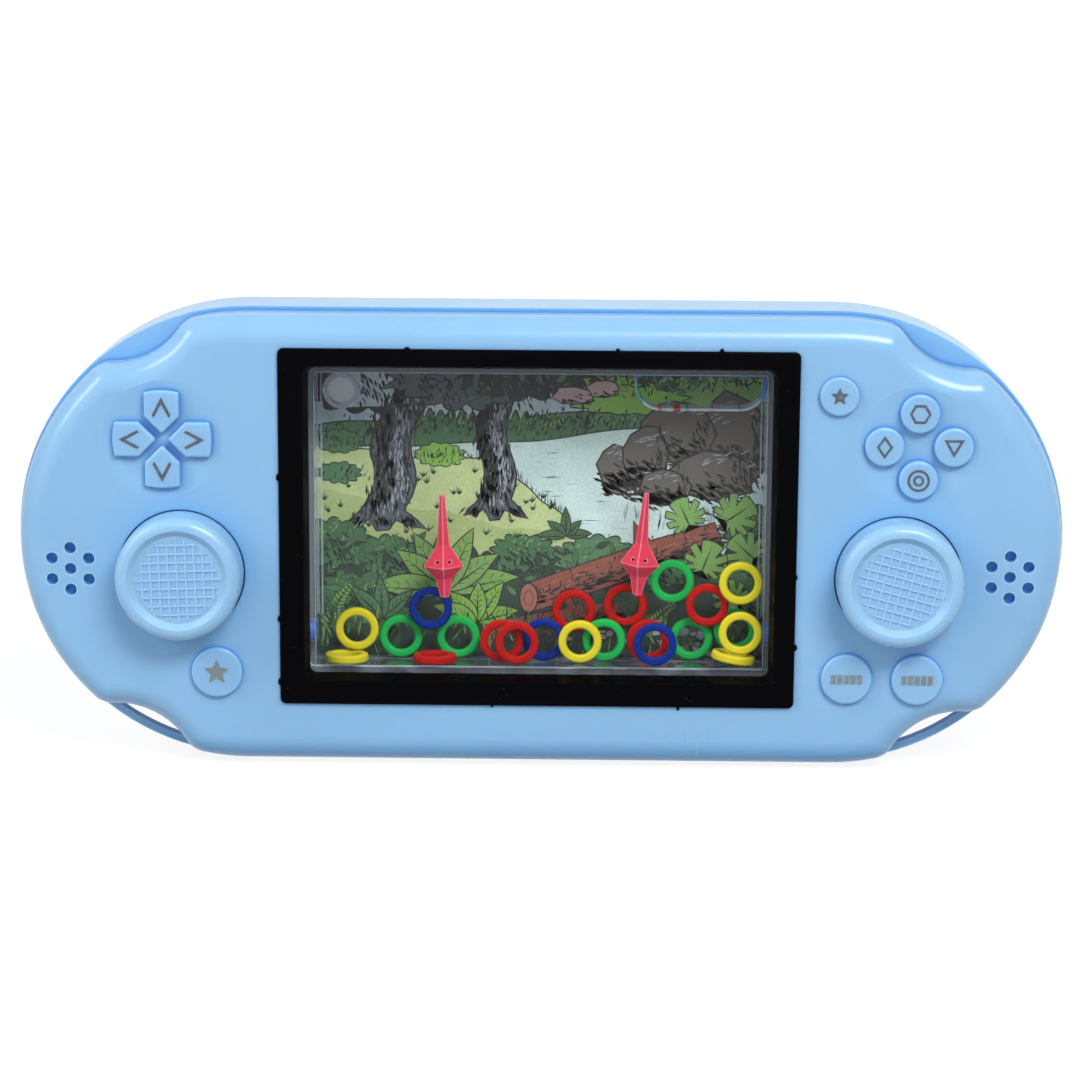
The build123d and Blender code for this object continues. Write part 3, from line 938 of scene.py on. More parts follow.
@dataclass(frozen=True)
class Bubble:
    """Air trapped at the top of the tank, against its front wall: sizes in metres."""

    left: float = mm(16.0)
    right: float = mm(38.5)
    depth: float = mm(8.6)
    height: float = mm(6.3)
    film: float = mm(0.06)
    swell: float = 0.72
    rim: float = mm(1.3)

    def build(self, low: Vector, high: Vector, finish: Material) -> None:
        """Build the bubble in the wet box of the tank.

        Args:
            low: the wet box's lowest corner.
            high: its highest corner.
            finish: the air's surface.
        """
        bm = bmesh.new()
        bmesh.ops.create_cube(bm, size=1.0)
        size = (self.right - self.left, self.depth, self.height)
        bmesh.ops.scale(bm, vec=size, verts=bm.verts[:])
        ends = [e for e in bm.edges if abs(e.verts[0].co.x - e.verts[1].co.x) < 1e-9
                and all(v.co.z < 0 for v in e.verts)]
        bmesh.ops.bevel(bm, geom=ends, offset=self.height * self.swell, offset_type="OFFSET",
                        affect="EDGES", segments=14, profile=0.5, material=-1)
        soft = [e for e in bm.edges if e.calc_face_angle(0.0) > 0.6]
        bmesh.ops.bevel(bm, geom=soft, offset=self.rim, offset_type="OFFSET", affect="EDGES",
                        segments=6, profile=0.5, material=-1)
        centre = Vector(((self.left + self.right) / 2, low.y + self.film + self.depth / 2,
                         high.z - self.film - self.height / 2))
        bmesh.ops.translate(bm, verts=bm.verts[:], vec=centre)
        bmesh.ops.recalc_face_normals(bm, faces=bm.faces[:])
        piece("air_bubble", bm, [finish], math.radians(50))


@dataclass(frozen=True)
class Bellows:
    """Rubber bellows of one pump: sizes in metres."""

    side: str
    radius: float = mm(8.2)
    fold: float = mm(1.7)
    folds: int = 4
    soft_fold: float = mm(0.5)
    wall: float = mm(0.8)
    steps: int = 56

    def build(self, finish: Material) -> None:
        """Spin the folded wall about the pump's axis.

        Args:
            finish: the rubber.
        """
        node, press = f"{self.side}_pump_bellows", f"{self.side}_pump_press"
        low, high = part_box(node)
        x, z = (low.x + high.x) / 2, (low.z + high.z) / 2
        step = (high.y - low.y) / (2 * self.folds)
        valley = self.radius - self.fold
        profile = [(mm(0.01), low.y), (valley, low.y)]
        profile += [(self.radius if half % 2 else valley, low.y + half * step)
                    for half in range(1, 2 * self.folds + 1)]
        bm = bmesh.new()
        points = [bm.verts.new((x + radius, y, z)) for radius, y in profile]
        for pair in zip(points, points[1:]):
            bm.edges.new(pair)
        crests = [v for v in points if len(v.link_edges) == 2]
        bmesh.ops.bevel(bm, geom=crests, offset=self.soft_fold, offset_type="OFFSET", affect="VERTICES",
                        segments=4, profile=0.5, material=-1)
        bmesh.ops.spin(bm, geom=bm.edges[:] + bm.verts[:], cent=(x, 0, z), axis=(0, 1, 0),
                       angle=math.tau, steps=self.steps, use_merge=True)
        bmesh.ops.remove_doubles(bm, verts=bm.verts[:], dist=mm(0.02))
        bmesh.ops.recalc_face_normals(bm, faces=bm.faces[:])
        bmesh.ops.solidify(bm, geom=bm.faces[:], thickness=self.wall)
        made = piece(f"{self.side}_bellows", bm, [finish], math.radians(40))
        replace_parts(made, node)
        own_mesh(made)


# ---------------------------------------------------------------- printed card


class Ink(Enum):
    """The inks of the printed card."""

    SKY = (0.50, 0.60, 0.60)
    LAKE = (0.62, 0.76, 0.70)
    RIPPLE = (0.36, 0.46, 0.47)
    FAR_GREEN = (0.085, 0.20, 0.085)
    MID_GREEN = (0.062, 0.155, 0.060)
    DEEP_GREEN = (0.026, 0.050, 0.030)
    BRIGHT_GREEN = (0.26, 0.48, 0.075)
    LEAF_GREEN = (0.22, 0.40, 0.10)
    MEADOW = (0.56, 0.64, 0.28)
    MEADOW_SHADE = (0.45, 0.54, 0.21)
    STONE_GREY = (0.100, 0.108, 0.125)
    PALE_GREY = (0.36, 0.38, 0.42)
    ROCK_BROWN = (0.130, 0.108, 0.090)
    GLOOM = (0.020, 0.018, 0.018)
    RUST = (0.27, 0.080, 0.052)
    RUST_LIGHT = (0.40, 0.15, 0.10)
    PINK_STONE = (0.55, 0.36, 0.35)
    LINE = (0.012, 0.011, 0.011)


def between(start: Flat, end: Flat, share: float, lift: float = 0.0) -> Flat:
    """A spot on the way from one place to another, lifted."""
    return (start[0] + (end[0] - start[0]) * share, start[1] + (end[1] - start[1]) * share + lift)


def around(centre: Flat, width: float, height: float, turn: float, reach: float) -> Flat:
    """A spot on an oval: turn is its direction, and reach its share of the oval's own reach."""
    return (centre[0] + width / 2 * reach * math.cos(turn),
            centre[1] + height / 2 * reach * math.sin(turn))


def pairs_of(outline: Sequence[Flat]) -> Iterable[tuple[Flat, Flat]]:
    """The sides of a closed outline."""
    return zip(outline, [*outline[1:], outline[0]])


def split_edges(outline: Sequence[Flat], longest: float) -> list[Flat]:
    """Split the sides of a closed outline.

    Args:
        outline: its corners.
        longest: no side stays longer than this.

    Returns:
        The corners.
    """
    points = []
    for start, end in pairs_of(outline):
        parts = max(1, math.ceil(math.hypot(end[0] - start[0], end[1] - start[1]) / longest))
        du, dv = end[0] - start[0], end[1] - start[1]
        points.extend((start[0] + du * k / parts, start[1] + dv * k / parts) for k in range(parts))
    return points


def holds(outline: Sequence[Flat], spot: Flat) -> bool:
    """Whether a closed outline goes round a spot.

    Args:
        outline: its corners.
        spot: the spot.

    Returns:
        True where it does.
    """
    inside = False
    for (u0, v0), (u1, v1) in pairs_of(outline):
        if (v0 > spot[1]) != (v1 > spot[1]):
            inside ^= spot[0] < u0 + (u1 - u0) * (spot[1] - v0) / (v1 - v0)
    return inside


def holed_faces(bm: BMesh, outline: Sequence[Flat], hole: Sequence[Flat], y: float) -> list[BMFace]:
    """Fill between an outline and a hole in it.

    Args:
        bm: the mesh that gets the faces.
        outline: outer corners as (x, z).
        hole: corners of the hole.
        y: depth of the faces.

    Returns:
        Flat faces that look towards the viewer.
    """
    edges = []
    for loop in (outline, hole):
        corners = [bm.verts.new((x, y, z)) for x, z in loop]
        edges += [bm.edges.new(pair) for pair in pairs_of(corners)]
    filled = bmesh.ops.triangle_fill(bm, use_beauty=True, use_dissolve=False, edges=edges)
    faces = [part for part in filled["geom"] if isinstance(part, BMFace)]
    to_front(faces)
    return faces


def wavy(start: Flat, end: Flat, swell: float, waves: float, phase: float,
         count: int = 40) -> list[Flat]:
    """Draw an uneven line: two waves of different lengths.

    Args:
        start: its first place.
        end: its last place.
        swell: height of the longer wave.
        waves: how many of it.
        phase: where it starts, in radians.
        count: how many steps.

    Returns:
        The line's points.
    """
    points = []
    for step in range(count + 1):
        share = step / count
        short = 0.45 * math.sin(2.7 * waves * math.tau * share)
        lift = math.sin(waves * math.tau * share + phase) + short
        points.append(between(start, end, share, swell * lift))
    return points


def scalloped(start: Flat, end: Flat, lobes: int, rise: float, draws: random.Random) -> list[Flat]:
    """Draw a row of leafy lobes.

    Args:
        start: its first place.
        end: its last place.
        lobes: how many.
        rise: their mean height.
        draws: source of the uneven heights.

    Returns:
        The row's points.
    """
    points, steps = [], 6
    for lobe in range(lobes):
        height = rise * draws.uniform(0.5, 1.2)
        for step in range(steps):
            bump = height * math.sin(math.pi * step / steps)
            points.append(between(start, end, (lobe + step / steps) / lobes, bump))
    return [*points, end]


def clump(centre: Flat, width: float, height: float, lobes: int, draws: random.Random) -> list[Flat]:
    """Draw a leafy bush.

    Args:
        centre: its middle.
        width: its width.
        height: its height.
        lobes: how many lobes go round it.
        draws: source of the uneven lobes.

    Returns:
        Its corners.
    """
    points, steps = [], 5
    for lobe in range(lobes):
        reach = draws.uniform(0.12, 0.24)
        points += [around(centre, width, height, math.tau * (lobe + step / steps) / lobes,
                          0.86 + reach * math.sin(math.pi * step / steps)) for step in range(steps)]
    return points


def lump(centre: Flat, width: float, height: float, corners: int, draws: random.Random) -> list[Flat]:
    """Draw a stone.

    Args:
        centre: its middle.
        width: its width.
        height: its height.
        corners: how many corners.
        draws: source of the uneven corners.

    Returns:
        Its corners.
    """
    points = []
    for corner in range(corners):
        turn = math.tau * (corner + draws.uniform(-0.25, 0.25)) / corners
        points.append(around(centre, width, height, turn, draws.uniform(0.85, 1.1)))
    return points


def blade(base: Flat, length: float, width: float, angle: float, bend: float = 0.0,
          count: int = 9) -> list[Flat]:
    """Draw a pointed leaf that bends along its length.

    Args:
        base: its foot.
        length: its length.
        width: its width.
        angle: its direction at the foot.
        bend: how far it turns towards its tip.
        count: how many steps.

    Returns:
        Its corners.
    """
    left: list[Flat] = []
    right: list[Flat] = []
    place = Vector(base)
    for step in range(count + 1):
        share = step / count
        heading = angle + bend * share
        half = width / 2 * math.sin(math.pi * share ** 0.8) ** 0.9 if 0 < share < 1 else 0.0
        across = Vector((-math.sin(heading), math.cos(heading))) * half
        left.append(tuple(place + across))
        if 0 < step < count:
            right.append(tuple(place - across))
        place = place + Vector((math.cos(heading), math.sin(heading))) * length / count
    return left + right[::-1]


def split_leaf(centre: Flat, size: float, angle: float) -> list[Flat]:
    """Draw a heart-shaped leaf with deep notches between its ribs.

    Args:
        centre: its middle.
        size: its reach.
        angle: its direction.

    Returns:
        Its corners.
    """
    points, corners, ribs = [], 110, 11
    for step in range(corners):
        turn = math.tau * step / corners
        heart = 0.78 + 0.22 * math.cos(turn) - 0.34 * max(0.0, -math.cos(turn)) ** 8
        notch = 0.5 * max(0.0, math.cos(ribs * turn)) ** 4 * min(1.0, abs(math.sin(turn)) * 1.8)
        reach = size * heart * (1 - notch)
        points.append((centre[0] + reach * math.cos(turn + angle),
                       centre[1] + reach * math.sin(turn + angle)))
    return points


class Strokes(NamedTuple):
    """A patch of pen strokes on a form; shift and spread are shares of the form's width and height."""

    shift: Flat
    spread: Flat
    count: int
    angle: float
    length: float
    width: float
    ink: Ink = Ink.LINE


Form = tuple[Flat, float, float, Ink]


class Press:
    """Flat printed shapes, each layer a hair nearer than the last, in the card's own millimetres.

    Places on the card are (u, v): u along X from the middle, v up from the card's lower edge.
    """

    layer: float = mm(0.0003)
    hole_count: int = 40

    def __init__(self, foot: float, nearest: float, hole: tuple[Flat, float],
                 draws: random.Random) -> None:
        """Start on a bare card.

        Args:
            foot: height of the card's lower edge.
            nearest: depth of the bare card's face.
            hole: middle and radius of the card's hole, in its millimetres.
            draws: source of every uneven length.
        """
        self.foot = foot
        self.y = nearest
        self.middle, self.radius = hole
        self.draws = draws
        self.inks: dict[Ink, Material] = {}
        self.bm = bmesh.new()
        self.used: list[Ink] = []

    def index(self, ink: Ink) -> int:
        """Number of an ink on the present piece.

        Args:
            ink: the ink.

        Returns:
            Its material index.
        """
        if ink not in self.used:
            self.used.append(ink)
        return self.used.index(ink)

    def placed(self, outline: Iterable[Flat]) -> list[Flat]:
        """An outline of the card in the frame's metres."""
        return [(mm(u), self.foot + mm(v)) for u, v in outline]

    def from_hole(self, spot: Flat) -> float:
        """Distance of a spot from the middle of the hole."""
        return math.hypot(spot[0] - self.middle[0], spot[1] - self.middle[1])

    def off_hole(self, outline: Sequence[Flat]) -> list[Flat]:
        """Move whatever crosses the hole out to its rim.

        Args:
            outline: corners of a shape.

        Returns:
            The corners, as they were where nothing crosses.
        """
        if min(map(self.from_hole, split_edges(outline, 0.8))) > self.radius:
            return list(outline)
        points = []
        for spot in split_edges(outline, 0.4):
            scale = max(1.0, (self.radius + 0.05) / (self.from_hole(spot) or 1e-6))
            points.append(between(self.middle, spot, scale))
        return points

    def next_layer(self) -> None:
        """Print on a nearer layer from here on."""
        self.y -= self.layer

    def shape(self, outline: Sequence[Flat], ink: Ink, line: float = 0.0) -> None:
        """Print a closed shape on the present layer.

        Args:
            outline: its corners.
            ink: its ink.
            line: width of the ink line inside its edge.
        """
        outline = self.off_hole(outline)
        face = face_of(self.bm, self.placed(outline), self.y)
        face.material_index = self.index(ink)
        if line:
            rim = bmesh.ops.inset_region(self.bm, faces=[face], thickness=mm(line), use_boundary=True,
                                         use_even_offset=False)
            for part in rim["faces"]:
                part.material_index = self.index(Ink.LINE)
        if holds(outline, self.middle):
            inner = [(corner.co.x, corner.co.z) for corner in face.verts]
            bmesh.ops.delete(self.bm, geom=[face], context="FACES_ONLY")
            hole = self.placed(round_outline(self.middle, self.radius, self.hole_count))
            for part in holed_faces(self.bm, inner, hole, self.y):
                part.material_index = self.index(ink)

    def area(self, outline: Sequence[Flat], ink: Ink, line: float = 0.24) -> None:
        """Print a closed shape on a layer of its own."""
        self.next_layer()
        self.shape(outline, ink, line)

    def stroke(self, start: Flat, length: float, angle: float, width: float,
               ink: Ink = Ink.LINE) -> None:
        """Print one tapered pen stroke on the present layer, unless it crosses the hole.

        Args:
            start: where the pen starts.
            length: how far it goes.
            angle: its direction.
            width: width of the stroke's belly.
            ink: its ink.
        """
        along = Vector((math.cos(angle), math.sin(angle))) * length
        side = Vector((-along.y, along.x)).normalized() * width / 2
        begin, middle = Vector(start), Vector(self.middle)
        if min((begin + along * k - middle).length for k in (0, 0.5, 1)) < self.radius + 0.3:
            return
        belly, tip = begin + along * 0.4, begin + along
        self.shape([tuple(begin), tuple(belly - side), tuple(tip), tuple(belly + side)], ink)

    def hatch(self, centre: Flat, spread: Flat, count: int, angle: float, length: float,
              width: float = 0.2, ink: Ink = Ink.LINE) -> None:
        """Print a patch of pen strokes.

        Args:
            centre: its middle.
            spread: its width and height.
            count: how many strokes.
            angle: their mean direction.
            length: their mean length.
            width: their width.
            ink: their ink.
        """
        self.next_layer()
        for _ in range(count):
            start = tuple(self.draws.gauss(middle, reach / 2) for middle, reach in zip(centre, spread))
            reach = length * self.draws.uniform(0.5, 1.3)
            self.stroke(start, reach, angle + self.draws.uniform(-0.25, 0.25), width, ink)

    def shade(self, centre: Flat, width: float, height: float, patches: Iterable[Strokes]) -> None:
        """Print the pen strokes of a form.

        Args:
            centre: the form's middle.
            width: its width.
            height: its height.
            patches: its patches of strokes.
        """
        for patch in patches:
            self.hatch((centre[0] + patch.shift[0] * width, centre[1] + patch.shift[1] * height),
                       (patch.spread[0] * width, patch.spread[1] * height), *patch[2:])

    def forms(self, draw: Callable[..., list[Flat]], corners: int, line: float,
              patches: Sequence[Strokes], rows: Iterable[Form]) -> None:
        """Print forms of one kind with their pen strokes.

        Args:
            draw: gives a form's outline.
            corners: its lobes or corners.
            line: width of the ink line inside its edge.
            patches: the patches of strokes on each.
            rows: middle, width, height and ink of each form.
        """
        for centre, width, height, ink in rows:
            self.area(draw(centre, width, height, corners, self.draws), ink, line)
            self.shade(centre, width, height, patches)

    def finish(self, name: str) -> None:
        """Make what was printed since the last call a piece of its own.

        Args:
            name: the piece's name.
        """
        for ink in self.used:
            if ink not in self.inks:
                self.inks[ink] = PrintInk(f"print_{ink.name.lower()}", ink.value).make()
        piece(name, self.bm, [self.inks[ink] for ink in self.used])
        self.bm = bmesh.new()
        self.used = []


BARK = (
    Strokes((-0.22, 0.0), (0.26, 2.0), 26, math.pi / 2 - 0.1, 2.6, 0.5, Ink.GLOOM),
    Strokes((0.30, 0.0), (0.14, 1.8), 12, math.pi / 2 + 0.15, 2.0, 0.3),
    Strokes((0.12, 0.0), (0.22, 1.6), 9, math.pi / 2, 2.2, 0.3, Ink.PALE_GREY),
)
ROOTS = ((-0.72, -1.6), (-0.95, -3.0), (-0.5, -2.6), (-0.3, -1.9), (-0.15, -3.9), (0.15, -3.7),
         (0.3, -2.0), (0.6, -3.0), (1.0, -3.5), (0.8, -1.8))
CANOPY = (
    Strokes((0.0, -0.1), (0.6, 0.4), 90, -1.2, 1.9, 0.5),
    Strokes((0.0, -0.15), (0.6, 0.35), 34, -1.1, 1.5, 0.3, Ink.STONE_GREY),
)
CRACKS = (
    Strokes((-0.12, -0.26), (0.5, 0.24), 90, -0.5, 2.0, 0.5, Ink.GLOOM),
    Strokes((0.28, 0.0), (0.12, 0.5), 30, -1.3, 1.8, 0.36),
    Strokes((-0.05, 0.25), (0.4, 0.14), 9, 0.3, 1.8, 0.24, Ink.PALE_GREY),
)
TWIGS = (
    Strokes((0.0, -0.2), (0.6, 0.4), 90, -0.9, 1.4, 0.42),
    Strokes((0.0, 0.2), (0.6, 0.25), 22, 0.9, 1.0, 0.26, Ink.LEAF_GREEN),
)
UNDERWOOD = (Ink.MID_GREEN, Ink.FAR_GREEN, Ink.DEEP_GREEN)


class Landscape(Press):
    """The picture: a lake, woods, rocks and leafy ground."""

    half_width: float = 39.8
    height: float = 53.6

    def paint(self) -> None:
        """Print the whole picture, from the far view to the nearest pebbles."""
        for part in (self.far_view, self.rocks, self.meadow, self.woods, self.bushes, self.fallen_logs,
                     self.leafy_ground, self.pebbles):
            part()

    def under(self, line: list[Flat], foot: float) -> list[Flat]:
        """Close a line from side to side with the ground below it."""
        return line + [(line[-1][0], foot), (line[0][0], foot)]

    def foliage(self, centre: Flat, spread: Flat, count: int, size: float, inks: Sequence[Ink]) -> None:
        """Print a patch of small overlapping leaves.

        Args:
            centre: its middle.
            spread: its width and height.
            count: how many leaves.
            size: their mean length.
            inks: their inks.
        """
        for _ in range(count):
            u, v = (self.draws.gauss(middle, reach / 2) for middle, reach in zip(centre, spread))
            angle = self.draws.uniform(-0.5, math.pi + 0.5)
            reach = size * self.draws.uniform(0.6, 1.3)
            if abs(u) < self.half_width - 2 and 0 < v < self.height - 2:
                leaf = blade((u, v), reach, reach * 0.42, angle, 0.3, 6)
                self.area(leaf, self.draws.choice(inks), 0.11)

    def far_view(self) -> None:
        """Sky, far hills, the lit slope and the lake with its ripples."""
        edge, draws = self.half_width, self.draws
        self.area([(-edge, 0), (edge, 0), (edge, self.height), (-edge, self.height)], Ink.SKY, 0)
        self.area(self.under(wavy((-edge, 41.5), (edge, 47), 0.6, 1.6, 0.4), 30), Ink.FAR_GREEN)
        self.hatch((-30, 40.2), (12, 1.6), 60, 1.3, 1.2, 0.3)
        self.area(clump((24, 49.5), 40, 9.5, 19, draws), Ink.LEAF_GREEN)
        self.area(clump((15, 46.6), 22, 5.5, 13, draws), Ink.BRIGHT_GREEN)
        self.hatch((22, 49.5), (22, 2.6), 130, 1.3, 1.2, 0.3)
        self.area(self.under(scalloped((-22, 43.5), (15, 42.0), 20, 2.0, draws), 34), Ink.MID_GREEN)
        self.hatch((-4, 41.8), (26, 2.8), 260, 1.3, 1.3, 0.36)
        self.hatch((-2, 42.6), (24, 1.6), 60, 1.3, 1.0, 0.26, Ink.LEAF_GREEN)
        self.area(self.under(wavy((-edge, 37.0), (edge, 43.5), 0.5, 1.3, 1.0), 12), Ink.LAKE)
        self.finish("print_far_view")
        for ink, count in ((Ink.RIPPLE, 46), (Ink.LINE, 26)):
            self.next_layer()
            for _ in range(count):
                place = (draws.uniform(-34, 36), draws.uniform(23, 38.5))
                self.stroke(place, draws.uniform(1.2, 4.2), draws.uniform(-0.04, 0.04), 0.14, ink)
        self.finish("print_ripples")

    def rocks(self) -> None:
        """A rock stack that stands in the lake, with its reflection."""
        self.hatch((24, 27.0), (16, 2.0), 36, -math.pi / 2, 3.0, 0.4, Ink.RIPPLE)
        brown = Ink.ROCK_BROWN
        self.forms(lump, 11, 0.3, CRACKS, (
            ((33.5, 40.0), 13, 17, brown), ((24.0, 41.0), 14, 13, brown), ((13.5, 34.5), 8, 9, brown),
            ((18.0, 37.0), 9, 11, brown), ((29.5, 33.5), 16, 10, brown), ((21.5, 31.5), 10, 6.5, brown),
        ))
        self.finish("print_rock_stack")

    def meadow(self) -> None:
        """The near bank: a sunny meadow with tufts and a reedy shore."""
        edge, draws = self.half_width, self.draws
        shore = [*wavy((-edge, 38.5), (-9.0, 36.0), 0.5, 1.1, 0.7, 24),
                 *wavy((-8.0, 35.4), (3.5, 27.0), 0.4, 0.9, 0.2, 12)]
        bay = [(5.5, 24.0), (7.0, 20.5), (6.0, 17.0)]
        self.area(shore + bay + [(6.0, 8), (-edge, 8)], Ink.MEADOW)
        near = wavy((-edge, 30.5), (2.0, 23.0), 0.5, 2.2, 0.2, 30)
        self.area(self.under(near, 8), Ink.MEADOW_SHADE, 0)
        for centre, width, ink in (
            ((-35, 39.0), 9, Ink.FAR_GREEN), ((-35, 33.5), 8, Ink.FAR_GREEN),
            ((-17.5, 36.8), 9, Ink.BRIGHT_GREEN), ((-25.5, 37.6), 6, Ink.LEAF_GREEN),
        ):
            self.area(clump(centre, width, width * 0.5, 12, draws), ink, 0.2)
            self.hatch((centre[0], centre[1] - 0.5), (width * 0.6, width * 0.16), 30, 1.2, 1.0, 0.26)
        self.next_layer()
        tufts, spikes = 36, 5
        for _ in range(tufts):
            base = (draws.uniform(-38, 3), draws.uniform(21.5, 34.0))
            for spike in range(spikes):
                self.stroke(base, draws.uniform(0.8, 1.9), math.pi / 2 + (spike - 2) * 0.33, 0.2)
        reeds = 4
        for u, v in shore:
            for _ in range(reeds):
                self.stroke((u + draws.uniform(-0.6, 0.6), v - 0.3), draws.uniform(0.8, 2.4),
                            math.pi / 2 + draws.uniform(-0.2, 0.2), 0.16)
        self.finish("print_meadow")

    def woods(self) -> None:
        """Two big grey trees and the foliage that hangs in from the top."""
        self.trunk((-27.5, 27.0), (-21.5, 55.0), 7.8)
        self.finish("print_left_tree")
        self.trunk((-8.0, 29.0), (-7.5, 55.0), 6.0)
        self.finish("print_middle_tree")
        self.forms(clump, 17, 0.24, CANOPY, (
            ((-14, 51.0), 26, 12.5, Ink.STONE_GREY), ((-31, 50.5), 26, 13, Ink.GLOOM),
            ((-3, 52.0), 24, 11, Ink.GLOOM), ((12, 54.5), 17, 8, Ink.MID_GREEN),
            ((24, 54.5), 17, 8, Ink.DEEP_GREEN), ((36, 53.5), 16, 8, Ink.LEAF_GREEN),
        ))
        self.foliage((-14, 48.5), (16, 2.5), 26, 2.4, (Ink.DEEP_GREEN, Ink.MID_GREEN, Ink.STONE_GREY))
        self.foliage((20, 49.5), (20, 2.5), 34, 2.2, (Ink.MID_GREEN, Ink.LEAF_GREEN, Ink.DEEP_GREEN))
        self.finish("print_canopy")

    def trunk(self, foot: Flat, top: Flat, width: float) -> None:
        """A grey tree trunk with spreading roots and dark bark on one side.

        Args:
            foot: middle of its foot.
            top: middle of its top.
            width: its width.
        """
        right, left, steps, flare = [], [], 12, 0.28
        for step in range(steps + 1):
            share = step / steps
            half = width * (0.5 - 0.1 * share + flare * max(0.0, share - 0.72) / 0.28)
            u, v = between(foot, top, share)
            u += width * 0.16 * math.sin(0.85 * step)
            right.append((u + half, v))
            left.append((u - half, v))
        roots = [(foot[0] + width * across, foot[1] + down) for across, down in ROOTS]
        self.area(left[::-1] + roots + right, Ink.STONE_GREY, 0.3)
        for reach in (-0.55, 0.0, 0.55):
            self.hatch((foot[0] + width * reach, foot[1] - 1.6), (width * 0.2, 0.8), 22,
                       -math.pi / 2 + reach, 1.6, 0.4, Ink.GLOOM)
        for (u0, v), (u1, _) in zip(right, left):
            self.shade(((u0 + u1) / 2, v - 0.6), width, 1.0, BARK)

    def bushes(self) -> None:
        """Dark bushes along the bank and the gloom under them."""
        edge = self.half_width
        gloom = self.under(scalloped((-edge, 18.5), (edge, 19.5), 30, 1.8, self.draws), -0.5)
        self.area(gloom, Ink.DEEP_GREEN)
        self.forms(clump, 14, 0.26, TWIGS, (
            ((-36, 21.0), 14, 9, Ink.MID_GREEN), ((-27, 18.5), 13, 8, Ink.MID_GREEN),
            ((-32, 12.0), 14, 9, Ink.MID_GREEN), ((-3, 19.5), 12, 7, Ink.MID_GREEN),
            ((10, 18.5), 15, 9, Ink.FAR_GREEN), ((36, 25.0), 10, 8, Ink.MID_GREEN),
            ((22, 17.5), 13, 8, Ink.FAR_GREEN), ((36, 14), 13, 11, Ink.MID_GREEN),
        ))
        self.foliage((-31, 19.0), (14, 5), 46, 2.3, UNDERWOOD)
        self.foliage((-30, 9.0), (14, 6), 44, 3.2, UNDERWOOD)
        self.foliage((6, 16.0), (16, 5), 40, 2.4, UNDERWOOD)
        self.finish("print_bushes")

    def fallen_log(self, start: Flat, end: Flat, width: float) -> None:
        """A rust-brown log with a cut end, bark strokes and a stub.

        Args:
            start: middle of its cut end.
            end: middle of its far end.
            width: its width.
        """
        first, last = Vector(start), Vector(end)
        along = last - first
        angle = math.atan2(along.y, along.x)
        side = Vector((-along.y, along.x)).normalized() * width / 2
        stub = first + along * 0.62
        outline = [first + side, stub - along * 0.04 + side, stub + side * 2.6,
                   stub + along * 0.05 + side, last + side * 0.75, last - side * 0.6,
                   first + along * 0.45 - side * 1.1, first - side]
        self.area([tuple(p) for p in outline], Ink.RUST, 0.3)
        parts = 10
        for part in range(parts):
            middle = first + along * (part + 0.5) / parts
            self.hatch(tuple(middle - side * 0.5), (width * 0.6, width * 0.2), 16, angle, 2.3, 0.42,
                       Ink.GLOOM)
            self.hatch(tuple(middle + side * 0.3), (width * 0.5, width * 0.25), 5, angle, 1.6, 0.24,
                       Ink.RUST_LIGHT)
            self.hatch(tuple(middle), (width * 0.6, width * 0.4), 5, angle + 1.2, 1.3, 0.3)
        for reach, corners, line in ((0.52, 14, 0.26), (0.26, 12, 0.14)):
            self.area(round_outline(start, width * reach, corners, squeeze=0.62), Ink.RUST_LIGHT, line)

    def fallen_logs(self) -> None:
        """Two fallen logs in the foreground."""
        self.fallen_log((-2.0, 11.5), (31.0, 23.5), 5.4)
        self.finish("print_long_log")
        self.fallen_log((-9.0, 5.0), (14.5, 9.6), 4.4)
        self.finish("print_short_log")

    def plant(self, foot: Flat, leaves: int, length: float, width: float, ink: Ink,
              fan: float = 2.4) -> None:
        """Broad leaves that fan out from one foot, each with its rib and veins.

        Args:
            foot: where they meet.
            leaves: how many.
            length: their mean length.
            width: their width.
            ink: their ink.
            fan: the angle between the outer ones.
        """
        veins = 5
        for leaf in range(leaves):
            angle = math.pi / 2 + fan * (leaf / (leaves - 1) - 0.5) + self.draws.uniform(-0.12, 0.12)
            reach = length * self.draws.uniform(0.8, 1.1)
            bend = 0.9 * (leaf / (leaves - 1) - 0.5)
            self.area(blade(foot, reach, width, angle, bend, 12), ink, 0.22)
            self.next_layer()
            for vein in range(veins):
                share = 0.2 + 0.13 * vein
                heading = angle + bend * share / 2
                place = (foot[0] + math.cos(heading) * reach * share,
                         foot[1] + math.sin(heading) * reach * share)
                for turn in (-0.75, 0.75):
                    self.stroke(place, width * 0.42, angle + bend * share + turn, 0.16)
            self.stroke(foot, reach * 0.9, angle + bend * 0.45, 0.28)

    def fern(self, foot: Flat, length: float, angle: float, ink: Ink) -> None:
        """A fern frond: small leaflets in pairs along a bent rib.

        Args:
            foot: its foot.
            length: its length.
            angle: its direction at the foot.
            ink: its ink.
        """
        place, heading, pairs = Vector(foot), angle, 12
        bend = 0.05 if angle > math.pi / 2 else -0.05
        self.next_layer()
        for pair in range(pairs):
            leaflet = length * 0.3 * (1 - pair / pairs * 0.8)
            for turn in (-1.0, 1.0):
                self.shape(blade(tuple(place), leaflet, length * 0.085, heading + turn, 0, 5), ink, 0.1)
            place += Vector((math.cos(heading), math.sin(heading))) * length / pairs
            heading += bend

